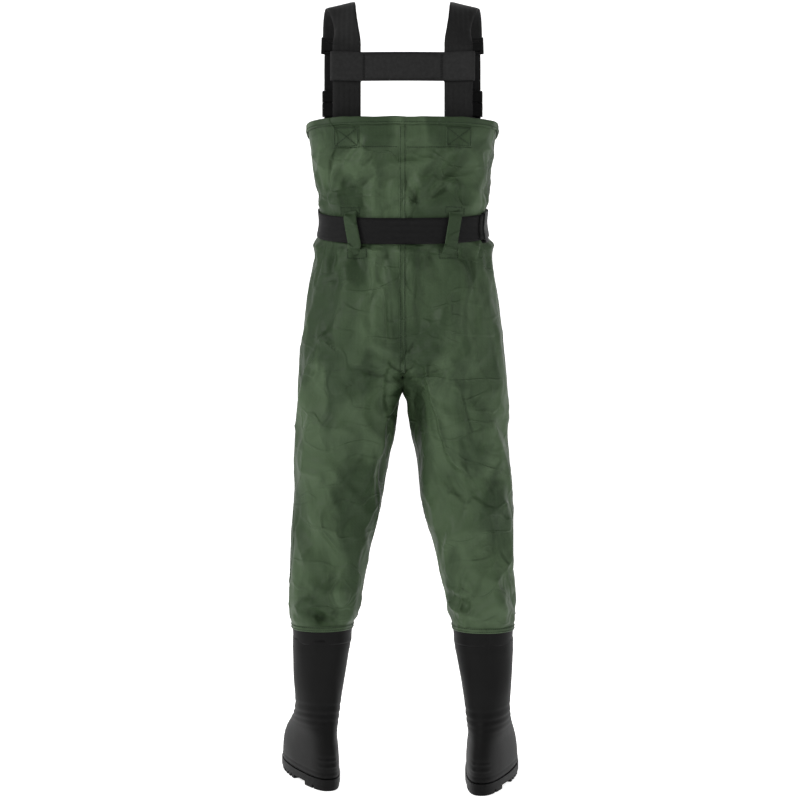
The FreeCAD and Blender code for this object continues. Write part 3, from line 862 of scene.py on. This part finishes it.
def box_stitch(x0, x1, h0, h1, front):
    """A stitched box with a cross in it."""
    lines = [
        (x0, h0, x1, h0), (x1, h0, x1, h1), (x1, h1, x0, h1), (x0, h1, x0, h0),
        (x0, h0, x1, h1), (x0, h1, x1, h0),
    ]
    parts = []
    for a, b, c, d in lines:
        parts += cloth_stitches(a, b, c, d, front, PATCH_STITCH_LIFT)
    return parts


def strap_patches():
    """A stitched patch under the end of each strap, in front and behind."""
    for side, sign in (("left", -1), ("right", 1)):
        for front in (False, True):
            middle, half = FRONT_PATCH if front else BACK_PATCH
            x0 = sign * middle - half
            x1 = sign * middle + half
            name = side + ("_front_patch" if front else "_back_patch")
            patch = patch_on_cloth(name + "_cloth", x0, x1, front)
            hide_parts(name)
            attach(patch, "torso")
            sew(name + "_stitches", box_stitch(x0 + PATCH_INSET, x1 - PATCH_INSET,
                                               PATCH_LOW + PATCH_INSET, PATCH_HIGH - PATCH_INSET,
                                               front))


strap_patches()


def centre_seam(front):
    """Felled seam down the middle with a row of stitches each side."""
    name = "centre_front_seam" if front else "centre_back_seam"
    heights = np.arange(SEAM_LOW, 1163 if front else 1288, SEAM_STEP)
    across = [-6.5, -5.6, -3.2, -0.6, 0.6, 3.2, 5.6, 6.5]
    rise = [0.0, 0.9, 1.1, 0.45, 0.45, 1.1, 0.9, 0.0]
    verts = []
    for h in heights:
        for x, up in zip(across, rise):
            verts.append(on_cloth(x, float(h), front, up)[0])
    tape = cloth_sheet(name + "_tape", verts, len(heights), len(across), front, SEAM_THICK)
    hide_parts(name)
    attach(tape, "torso")
    parts = []
    for x in (-4.4, 4.4):
        parts += cloth_stitches(x, SEAM_LOW + 4, x, 1161 if front else 1286, front, 1.3)
    sew(name + "_stitches", parts)


centre_seam(False)
centre_seam(True)


def top_hem():
    """Rolled edge of the bib and its row of stitches."""
    ring = list(resample(section(BIB_TOP, -1), COLUMNS))
    ring += list(resample(section(BIB_TOP, 1), COLUMNS))[::-1][1:-1]
    shape = [(0.1, -14.0), (0.9, -13.4), (1.0, -8.0), (1.0, -1.0), (0.6, 0.3), (-0.3, 0.7),
             (-1.2, 0.5), (-1.9, -0.4), (-2.1, -3.0), (-2.1, -13.0), (-1.7, -14.0)]
    verts = []
    for x, y, z, nx, ny in ring:
        wave = HEM_WAVE * rough(x / 34.0, y / 34.0, 3.0)
        for out, up in shape:
            off = out + wave * 0.4
            verts.append(row(x + nx * off, y + ny * off, z + up + wave))
    hem = make_object("top_hem_roll", verts, tube_faces(len(ring), len(shape), closed=True))
    outward(hem)
    paint(hem, GREEN)
    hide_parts("top_hem")
    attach(hem, "torso")
    points = [row(x + nx * 1.2, y + ny * 1.2, z - 10.5) for x, y, z, nx, ny in ring]
    sew("top_hem_stitches", stitch_row(points + [points[0]]))


top_hem()


def facing_stitches():
    """Row that holds the bib's inner facing, across between the patches."""
    parts = []
    for front in (False, True):
        for start, end in ((-FACING_REACH, -8), (8, FACING_REACH)):
            parts += cloth_stitches(start, FACING_HEIGHT, end, FACING_HEIGHT, front, 0.3)
    sew("facing_stitches", parts)


facing_stitches()


# ---- chest pocket

POCKET_HALF = 82.0
POCKET_LOW = 1166.0
POCKET_MOUTH = 1258.0
POCKET_DEPTH = 12.5
POCKET_EDGE = 5.0
POCKET_RIM = 1.6
POCKET_SEAM = 2.6
FLAP_HALF = 84.0
FLAP_LOW = 1229.0
FLAP_HIGH = 1290.0
FLAP_HINGE = 1268.0
FLAP_SEAM = 3.2


def bib_front(x, height):
    """How far forward the bib's smooth shape stands at a point, in millimetres."""
    line = section(height, 1 if x >= 0 else -1)
    best = min((p for p in line if p[1] > 0), key=lambda p: abs(p[0] - x))
    return best[1]


def pocket_lift(x, height):
    """Sides and bottom sewn down, the middle standing off as a shallow bag."""
    side = ease((POCKET_HALF - POCKET_EDGE - abs(x)) / 17.0)
    foot = ease((height - POCKET_LOW - POCKET_EDGE) / 20.0)
    sag = 1.2 * rough(x / 40.0, height / 34.0, 8.0) * side * foot
    return POCKET_RIM + (POCKET_DEPTH - POCKET_RIM) * (side * foot) ** 0.8 + sag


def hem_lift(x, height):
    """The hem of the pocket's mouth lies on the bag."""
    return pocket_lift(x, height) + 1.0


def flap_lift(x, height):
    """The flap hangs from a fold that is sewn down above the pocket."""
    rise = ease((1285.0 - height) / 13.0)
    curl = 0.9 * math.sin(x / 26.0 + 0.6) * ease((FLAP_HINGE - height) / 30.0)
    return 1.0 + 15.6 * rise + curl


def front_sheet(name, half, low, high, cells, lift, thick):
    """A sheet laid over the front of the bib, lifted off it by a rule."""
    across, up = cells
    verts = []
    for j in range(up + 1):
        h = low + (high - low) * j / up
        for i in range(across + 1):
            x = -half + 2 * half * i / across
            verts.append(row(x, bib_front(x, h) + lift(x, h), h))
    return cloth_sheet(name, verts, up + 1, across + 1, True, thick / 1000.0)


def front_stitches(x0, h0, x1, h1, lift):
    """Stitches along a straight line over a lifted sheet."""
    line = straight(x0, h0, x1, h1)
    return stitch_row([row(x, bib_front(x, h) + lift(x, h) + 0.3, h) for x, h in line])


def chest_pocket():
    """Patch pocket with a hemmed mouth."""
    bag = front_sheet("chest_pocket_bag", POCKET_HALF, POCKET_LOW, POCKET_MOUTH, (54, 32),
                      pocket_lift, 1.1)
    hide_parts("chest_pocket")
    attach(bag, "torso")
    hem = front_sheet("chest_pocket_hem", POCKET_HALF - POCKET_EDGE, POCKET_MOUTH - 12.0,
                      POCKET_MOUTH + 0.6, (48, 5), hem_lift, 1.0)
    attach(hem, "torso")
    inner = POCKET_HALF - POCKET_SEAM
    low = POCKET_LOW + 3
    parts = front_stitches(-inner, POCKET_MOUTH, -inner, low, pocket_lift)
    parts += front_stitches(-inner, POCKET_LOW + POCKET_SEAM, inner, POCKET_LOW + POCKET_SEAM,
                            pocket_lift)
    parts += front_stitches(inner, low, inner, POCKET_MOUTH, pocket_lift)
    hem_end = POCKET_HALF - 8.0
    hem_seam = POCKET_MOUTH - 9.5
    parts += front_stitches(-hem_end, hem_seam, hem_end, hem_seam, hem_lift)
    sew("chest_pocket_stitches", parts)


def pocket_cover():
    """Flap cut in one with the fold that carries it, and the rows of stitches on the flap and on the
    fold.
    """
    flap = front_sheet("pocket_flap_cloth", FLAP_HALF, FLAP_LOW, FLAP_HIGH, (56, 34), flap_lift, 1.6)
    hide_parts("pocket_flap", "flap_binding")
    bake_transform(flap)
    inner = FLAP_HALF - FLAP_SEAM
    low = FLAP_LOW + FLAP_SEAM
    high = FLAP_HINGE - 4
    parts = front_stitches(-inner, high, -inner, low, flap_lift)
    parts += front_stitches(-inner, low, inner, low, flap_lift)
    parts += front_stitches(inner, low, inner, high, flap_lift)
    sew("pocket_flap_stitches", parts, "flap")
    held = FLAP_HIGH - 2.6
    sew("pocket_fold_stitches", front_stitches(-inner, held, inner, held, flap_lift))


chest_pocket()
pocket_cover()


# ---- belt

BELT_COLUMNS = 150
BELT_WIDTH = 0.050
BELT_THICK = 0.0023
BELT_MIDDLE_OUT = 3.6
LOOP_WIDTH = 0.026
LOOP_THICK = 0.0028
LOOP_STITCH_HALF = 18.0


def ring_points(level):
    """Closed line round the waist at one level."""
    half = BELT_COLUMNS // 2 + 1
    left = list(resample(section(level, -1), half))
    right = list(resample(section(level, 1), half))[::-1]
    return left[:-1] + right[:-1]


def band_round(name, low, high, inside, outside, keep, rows, edge):
    """A closed strip of webbing on part of the waist ring."""
    lines = [ring_points(low + (high - low) * j / rows) for j in range(rows + 1)]
    order = [k for k in range(BELT_COLUMNS) if keep(lines[0][k][0], lines[0][k][1])]
    for cut in range(1, len(order)):
        if order[cut] != order[cut - 1] + 1:
            order = order[cut:] + order[:cut]
            break
    loop = [(j, outside, -edge) for j in range(rows + 1)]
    loop += [(j, inside, edge) for j in range(rows, -1, -1)]
    verts = []
    for k in order:
        for j, off, lip in loop:
            x, y, z, nx, ny = lines[j][k]
            out = off + 0.5 * rough(x / 30.0, y / 30.0, z / 60.0)
            if j in (0, rows):
                out += lip
            verts.append(row(x + nx * out, y + ny * out, z))
    obj = make_object(name, verts, tube_faces(len(order), len(loop), capped=True))
    outward(obj)
    paint(obj, WEBBING)
    return obj


def belt_forward(x):
    """How far forward the belt's middle runs at the front, in metres."""
    half = between(LEVELS, WAIST, 1) + BELT_MIDDLE_OUT
    depth = between(LEVELS, WAIST, 2) + BELT_MIDDLE_OUT
    power = between(LEVELS, WAIST, 4)
    return depth * (1 - (x / half) ** power) ** (1 / power) / 1000.0


def belt_end(name, sign, reach, y, z):
    """Straight stretch of belt from the ring to the buckle."""
    path = [
        Vector((sign * reach, y, z)),
        Vector((sign * 0.076, y, z)),
        Vector((sign * 0.084, y - 0.0016, z)),
        Vector((sign * 0.112, belt_forward(112.0), z)),
        Vector((sign * 0.120, belt_forward(120.0), z)),
    ]
    end = flat_strip(name, path, Vector((0, 0, 1)), BELT_WIDTH, BELT_THICK)
    paint(end, WEBBING)
    return end


def belt():
    """Belt round the back and sides, its folded free end, and its two ends at the buckle."""
    ring = band_round("belt_ring", WAIST - BELT_HALF, WAIST + BELT_HALF, 1.7, 4.0,
                      lambda x, y: y < 0 or abs(x) > 106, 10, 0.5)
    tail = band_round("belt_tail_web", WAIST - BELT_HALF + 0.6, WAIST + BELT_HALF - 0.6, 4.4, 6.3,
                      lambda x, y: x > 60 and -76 < y < 40, 8, 0.4)
    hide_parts("belt_webbing")
    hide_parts("belt_tail")
    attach(tail, "torso")
    low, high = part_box("belt_plug")
    socket_reach = -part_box("belt_socket")[0].x - 0.002
    plug_reach = high.x - 0.014
    y = (low.y + high.y) / 2
    z = (low.z + high.z) / 2
    belt_end("belt_end_left", -1, socket_reach, y, z).parent = ring
    belt_end("belt_end_right", 1, plug_reach, y, z).parent = ring
    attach(ring, "torso")


belt()


def belt_loop(name, top_x, low_x, centre, front):
    """One loop over the belt, sewn down above and below it."""
    path = []
    for up, out in ((40, 1.0), (36, 2.2), (31, 6.6), (25, 8.2), (0, 8.0), (-25, 8.2),
                    (-31, 7.0), (-37, 2.4), (-42, 1.0)):
        x = top_x + (low_x - top_x) * (40 - up) / 82.0
        place, normal = on_cloth(x, centre + up, front)
        base = on_cloth(x, centre, front)[0]
        y = (max if front else min)(place.y, base.y) if abs(up) < 33 else place.y
        sideways = Vector((normal.x, normal.y, 0)).normalized()
        path.append(Vector((place.x, y, place.z)) + sideways * out / 1000.0)
    normal = on_cloth(top_x, centre, front)[1]
    across = Vector((0, 0, 1)).cross(normal).normalized()
    loop = flat_strip(name + "_strip", path, across, LOOP_WIDTH, LOOP_THICK, None, 8, 4)
    paint(loop, GREEN)
    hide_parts(name)
    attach(loop, "torso")


def belt_loops():
    """Green loops over the belt, slanting in towards the bottom behind, and their stitches."""
    threads = []
    for side, sign in (("left", -1), ("right", 1)):
        for front in (False, True):
            top_x = sign * (128 if front else 101)
            low_x = sign * (128 if front else 88)
            centre = WAIST + WAIST_SLOPE * waist_lift(95.0 if front else -112.0)
            belt_loop(side + ("_front_belt_loop" if front else "_back_belt_loop"),
                      top_x, low_x, centre, front)
            for x, near, end in ((top_x, centre + 33, centre + 48), (low_x, centre - 33, centre - 50)):
                left = x - LOOP_STITCH_HALF
                right = x + LOOP_STITCH_HALF
                high, low = max(near, end), min(near, end)
                threads += cloth_stitches(left, high, left, low, front, 0.5)
                threads += cloth_stitches(right, high, right, low, front, 0.5)
                threads += cloth_stitches(left, end, right, end, front, 0.5)
    sew("belt_loop_stitches", threads)


belt_loops()


# ---- harness

STRAP_CENTRE = 123.0
STRAP_ANGLE = 8.4
REAR_RUN = -104.0
FRONT_RUN = 97.0
RUN_TOP = 1440.0
CROWN_DROP = 6.5
STRAP_SIZE = (0.0545, 0.0024)
WEB_SIZE = (0.038, 0.0018)
FRONT_OFFSET = 5
YOKE_HEIGHT = 1405
YOKE_SIZE = (0.056, 0.0022)
SLEEVE_SIZE = (0.0555, 0.0018)


def strap_frame(side, x, y, height):
    """From a strap's own frame to the row frame."""
    turn = math.radians(-side * STRAP_ANGLE)
    sx = side * x
    wx = sx * math.cos(turn) - y * math.sin(turn) + side * STRAP_CENTRE
    wy = sx * math.sin(turn) + y * math.cos(turn)
    return row(wx, wy, height)


def harness_strap(name, sign, path, size, material, node_name, rolls=None, cells=8, steps=4):
    """One flat strap of the harness in place of its CAD solid."""
    across = (strap_frame(sign, 1, 0, 0) - strap_frame(sign, 0, 0, 0)).normalized() * sign
    strap = flat_strip(name, path, across, size[0], size[1], rolls, cells, steps)
    paint(strap, material)
    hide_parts(node_name)
    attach(strap, "torso")


def harness():
    """Wide elastic over each shoulder, the webbing in front of it, and the tab on the bib."""
    rise = SHOULDER_HEIGHT - RUN_TOP - CROWN_DROP
    for side, sign in (("left", -1), ("right", 1)):
        path = [strap_frame(sign, 0, REAR_RUN, h) for h in (1262, 1310, 1380, 1437, RUN_TOP + 5)]
        for k in range(1, 15):
            turn = math.radians(180 - k * 154.0 / 14)
            reach = FRONT_RUN if math.cos(turn) > 0 else -REAR_RUN
            shift = 4.5 * math.sin(turn) ** 2
            path.append(strap_frame(sign, shift, reach * math.cos(turn),
                                    RUN_TOP + rise * math.sin(turn)))
        rolls = [0, 0, 0, 0, 0, 18, 36, 42, 40, 33, 24, 17, 14, 12, 10, 7, 4, 2, 0, 0]
        rolls = [r * sign for r in rolls]
        harness_strap(side + "_shoulder_elastic", sign, path, STRAP_SIZE, ELASTIC,
                      side + "_shoulder_strap", rolls, 10, 5)
        path = []
        for k in range(0, 6):
            turn = math.radians(24.5 - k * 24.5 / 5)
            path.append(strap_frame(sign, FRONT_OFFSET, FRONT_RUN * math.cos(turn),
                                    RUN_TOP + rise * math.sin(turn)))
        path += [strap_frame(sign, FRONT_OFFSET, FRONT_RUN, h) for h in (1425, 1405, 1379)]
        harness_strap(side + "_front_web", sign, path, WEB_SIZE, WEBBING,
                      side + "_front_webbing")
        path = [strap_frame(sign, FRONT_OFFSET, FRONT_RUN, h) for h in (1345, 1325, 1300, 1262)]
        harness_strap(side + "_front_tab_web", sign, path, WEB_SIZE, WEBBING,
                      side + "_front_tab")


harness()


def yoke_line(sign, stations, bulge, end_bulge):
    """Line of the yoke past one strap, standing off it behind or in front."""
    line = []
    for across in stations:
        off = bulge if across < 30 else end_bulge
        line.append(strap_frame(sign, across, REAR_RUN - off, YOKE_HEIGHT))
    return line


def yoke_band():
    """Cross band behind the shoulders with a sleeve round each strap."""
    stations = (31.5, 28, 18, 0, -18, -29)
    middle = [row(x, y, YOKE_HEIGHT) for x, y in ((-50, -103.5), (-20, -104.5), (20, -104.5),
                                                  (50, -103.5))]
    path = yoke_line(-1, stations, 3.9, 0.5) + middle + yoke_line(1, stations, 3.9, 0.5)[::-1]
    upright = Vector((0, 0, 1))
    band = flat_strip("yoke_band", path, upright, YOKE_SIZE[0], YOKE_SIZE[1], None, 10, 4)
    paint(band, YOKE)
    for side, sign in (("left", -1), ("right", 1)):
        inner = yoke_line(sign, (31.5, 28, 10, -10, -29), -3.6, -0.5)
        back = flat_strip("yoke_sleeve_" + side, inner, upright, SLEEVE_SIZE[0], SLEEVE_SIZE[1],
                          None, 10, 4)
        paint(back, YOKE)
        back.parent = band
    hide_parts("back_yoke")
    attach(band, "yoke")
    parts = []
    for sign in (-1, 1):
        for across, out in ((-31.0, 2.0), (-33.5, 2.2)):
            p = strap_frame(sign, across, REAR_RUN - 5.4, 0)
            heights = (YOKE_HEIGHT - 26, YOKE_HEIGHT, YOKE_HEIGHT + 26)
            line = [Vector((p.x, p.y - 0.0002 * out, row(0, 0, h).z)) for h in heights]
            parts += stitch_row(line)
    for h in (YOKE_HEIGHT - 24.5, YOKE_HEIGHT + 24.5):
        parts += stitch_row([row(x, -105.9, h) for x in range(-72, 73, 8)])
    threads = join("yoke_stitches", parts)
    paint(threads, WEBBING)
    threads.parent = band
    threads.matrix_parent_inverse = Matrix.Identity(4)


yoke_band()


# ---- boots

# Height, back, front, half width and middle of the boot's skin.
BOOT_LEVELS = [
    (22.4, -75.0, 219.0, 53.0, 163.0),
    (34.0, -76.5, 220.0, 54.5, 163.0),
    (48.0, -76.0, 215.0, 54.5, 163.0),
    (62.0, -75.0, 209.0, 53.5, 163.5),
    (76.0, -74.0, 199.0, 52.0, 164.0),
    (92.0, -71.0, 178.0, 49.5, 165.0),
    (110.0, -66.0, 145.0, 46.0, 166.0),
    (132.0, -60.0, 102.0, 43.0, 167.0),
    (158.0, -57.0, 71.0, 44.0, 167.0),
    (198.0, -60.0, 62.0, 49.0, 166.0),
    (258.0, -65.5, 65.5, 55.2, 161.8),
    (284.0, -68.4, 68.4, 57.9, 159.7),
    (310.0, -71.5, 71.5, 58.8, 159.0),
]
BOOT_MIDDLE = 163.0
BOOT_WALL = 0.0032
TOE_OUT = {-1: 16.0, 1: 11.0}
RING_SIDES = 96


def boot_point(side, height, turn, grow):
    """Point on a boot's skin, in millimetres across and forward."""
    back = between(BOOT_LEVELS, height, 1)
    front = between(BOOT_LEVELS, height, 2)
    half = between(BOOT_LEVELS, height, 3)
    middle = between(BOOT_LEVELS, height, 4)
    length = (front - back) / 2 + grow
    foot = ease((length - 70.0) / 60.0)
    power = 2 / (2.0 + 0.3 * foot)
    along = signed_power(math.cos(turn), power)
    across = signed_power(math.sin(turn), power)
    heel_share = ease((along + 1.0) / 1.7)
    width = 1.0 - foot * 0.32 * (1 - heel_share)
    lean = foot * 5.0 * ease((along + 0.2) / 1.2)
    x = (half + grow) * width * across - lean + middle - BOOT_MIDDLE
    y = (front + back) / 2 + length * along
    angle = math.radians(-side * TOE_OUT[side] * ease((260.0 - height) / 120.0))
    sx = side * x
    wx = sx * math.cos(angle) - y * math.sin(angle) + side * BOOT_MIDDLE
    wy = sx * math.sin(angle) + y * math.cos(angle)
    wy += -LEG_SETBACK - side * STANCE * (HIP_HEIGHT - height) / HIP_HEIGHT
    return wx, wy


def mound(distance, reach):
    """Smooth bump, 1 in its middle and near 0 beyond its reach."""
    return math.exp(-(distance / reach) ** 2)


def boot_detail(height, turn, side):
    """Moulded ribs, creases and the toe cap, as a lift off the skin."""
    out = 0.0
    back = ease((-math.cos(turn) - 0.86) / 0.09)
    for rib in (68.0, 58.0, 46.0):
        out += 2.1 * back * mound(height - rib, 2.0)
    out += 1.5 * math.exp(-((height - 27.0) / 5.0) ** 4)
    out -= 0.5 * mound(height - 34.5, 1.5)
    wave = math.sin(turn + side) * 5.0
    for crease, depth in ((114.0, 0.5), (127.0, 0.8), (141.0, 0.9), (158.0, 0.5)):
        out -= depth * mound(height - crease - wave, 3.2)
        out += depth * 0.7 * mound(height - crease - 6.5 - wave, 3.6)
    front = ease((math.cos(turn) - 0.1) / 0.5)
    for crease in (86.0, 97.0, 108.0):
        out -= 0.8 * front * mound(height - crease, 2.6)
    out += 1.2 * rough(math.cos(turn) * 1.6, math.sin(turn) * 1.6, height / 60.0 + side * 4)
    out += 0.54 * mound(height - 268.0, 3.0)
    return out


def boot_heights():
    """Rows of the boot's mesh, closest together over its ribs and creases."""
    rows = [22.4, 24, 26, 29, 32, 34.5, 36, 37.5, 40, 43, 44.5, 46, 48.5, 51, 52.5, 54, 56, 58.5,
            60.5, 62, 63.5, 66, 70, 75, 80, 84, 86, 88, 92, 95, 97, 99, 103, 106, 108, 110]
    rows += list(np.arange(113.0, 172.0, 2.4))
    rows += list(np.arange(174.0, 294.0, 6.0))
    rows.append(293.0)
    return rows


def boot(side, name):
    """Moulded boot, open at the top."""
    heights = boot_heights()
    verts = []
    for h in heights:
        for k in range(RING_SIDES):
            turn = 2 * math.pi * k / RING_SIDES
            x, y = boot_point(side, h, turn, boot_detail(h, turn, side))
            verts.append(row(x, y, h))
    obj = make_object(name + "_boot_skin", verts, tube_faces(len(heights), RING_SIDES))
    outward(obj, row(side * BOOT_MIDDLE, -LEG_SETBACK, 200))
    thicken(obj, BOOT_WALL)
    paint(obj, RUBBER)
    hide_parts(name + "_boot_upper")
    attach(obj, name + "_shin")


def leg_ring(name, side, shape, material):
    """A closed ring round a leg, its section given as steps out and heights."""
    verts = []
    for out, h in shape:
        for point in section(h, side, out, RING_SIDES + 1)[:-1]:
            verts.append(row(*point[:3]))
    obj = make_object(name, verts, tube_faces(len(shape), RING_SIDES, closed=True))
    outward(obj)
    paint(obj, material)
    return obj


def collar(side, name):
    """Rubber band over the joint, with a thin rolled edge at the top."""
    shape = [(-3.6, 284.0), (-2.2, 283.5), (-1.7, 287.0), (-1.3, 300.0), (-0.8, 318.0),
             (-1.0, 321.0), (-2.4, 321.5), (-3.2, 300.0)]
    ring = leg_ring(name + "_collar_band", side, shape, RUBBER)
    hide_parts(name + "_boot_collar")
    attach(ring, name + "_shin")


def leg_hem(side, name):
    """Turned lower edge of a leg with a double row of stitches over the boot."""
    shape = [(0.0, 321.0), (1.0, 320.4), (1.3, 316.0), (1.3, 311.0), (0.7, 309.8), (-0.2, 309.6),
             (-0.6, 310.6), (-0.5, 320.6)]
    hem = leg_ring(name + "_leg_hem", side, shape, GREEN)
    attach(hem, name + "_shin")
    parts = []
    for h in (312.6, 318.2):
        parts += stitch_row([row(*point[:3]) for point in section(h, side, 1.5, 181)])
    sew(name + "_leg_hem_stitches", parts, name + "_shin")


for name, side in (("left", -1), ("right", 1)):
    leg_hem(side, name)
    boot(side, name)
    collar(side, name)


# ---- carried-over CAD pieces

KEPT_EACH_SIDE = {
    "_outsole": RUBBER,
    "_insole": FOAM,
    "_strap_adjuster": PLASTIC,
    "_buckle_socket": PLASTIC,
    "_buckle_plug": PLASTIC,
}
KEPT_ALONE = ("belt_socket", "belt_plug", "belt_slider")


def repaint_kept():
    """Give the CAD pieces that stay in view their finished materials."""
    names = {plain: PLASTIC for plain in KEPT_ALONE}
    for side in ("left", "right"):
        for end, material in KEPT_EACH_SIDE.items():
            names[side + end] = material
    for name, material in names.items():
        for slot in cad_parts[name].material_slots:
            slot.link = "OBJECT"
            slot.material = material


repaint_kept()


# ---- camera, floor, light

CAMERA_LENS = 69.8
CAMERA_DISTANCE = 3.10
CAMERA_HEIGHT = 760.5
CAMERA_ASIDE = -0.005
FLOOR_GLOW = 0.78
WORLD_GLOW = 0.17
LIGHT_TARGET = (0.0, 0.0, -0.75)
# Name, place, size in metres and power in watts.
LIGHTS = [
    ("key", (-3.2, -1.7, 1.5), 0.9, 105.0),
    ("fill", (3.2, -1.5, 1.0), 0.9, 38.0),
    ("front", (0.2, -4.2, 1.4), 1.6, 16.0),
    ("rim", (0.5, 2.6, 1.2), 2.0, 22.0),
]


def camera():
    """Camera behind the wearer, at mid height."""
    data = bpy.data.cameras.new("camera")
    data.lens = CAMERA_LENS
    data.sensor_width = 36.0
    data.clip_end = 60.0
    obj = bpy.data.objects.new("camera", data)
    bpy.context.collection.objects.link(obj)
    height = (CAMERA_HEIGHT - SHOULDER_HEIGHT) / 1000.0
    obj.location = (CAMERA_ASIDE, -CAMERA_DISTANCE, height)
    obj.rotation_euler = (math.pi / 2, 0.0, 0.0)
    bpy.context.scene.camera = obj


def floor():
    """Pale floor that curves up into a backdrop."""
    material, tree, shader = new_material("floor")
    fill(shader, Base_Color=(0.92, 0.92, 0.92, 1.0), Roughness=0.9,
         Emission_Color=(1.0, 1.0, 1.0, 1.0), Emission_Strength=FLOOR_GLOW)
    low = -SHOULDER_HEIGHT / 1000.0 - 0.001
    profile = [(-6.0, 0.0), (6.0, 0.0), (7.2, 0.35), (8.0, 1.2), (8.2, 2.6), (8.2, 12.0)]
    verts = [(x, y, low + up) for x in (-14.0, 14.0) for y, up in profile]
    count = len(profile)
    faces = [(i, i + 1, i + count + 1, i + count) for i in range(count - 1)]
    obj = make_object("floor", verts, faces)
    obj.data.materials.append(material)


def area_light(name, place, size, power):
    """A square light aimed at the middle of the garment."""
    data = bpy.data.lights.new(name, "AREA")
    data.size = size
    data.energy = power
    obj = bpy.data.objects.new(name, data)
    bpy.context.collection.objects.link(obj)
    obj.location = place
    aim = Vector(LIGHT_TARGET) - Vector(place)
    obj.rotation_euler = aim.to_track_quat("-Z", "Y").to_euler()


def lights():
    """Even white surroundings and four lamps."""
    world = bpy.data.worlds.new("world")
    bpy.context.scene.world = world
    world.use_nodes = True
    fill(world.node_tree.nodes["Background"], Color=(1, 1, 1, 1), Strength=WORLD_GLOW)
    for name, place, size, power in LIGHTS:
        area_light(name, place, size, power)


camera()
floor()
lights()
bpy.context.scene.view_settings.view_transform = "Standard"
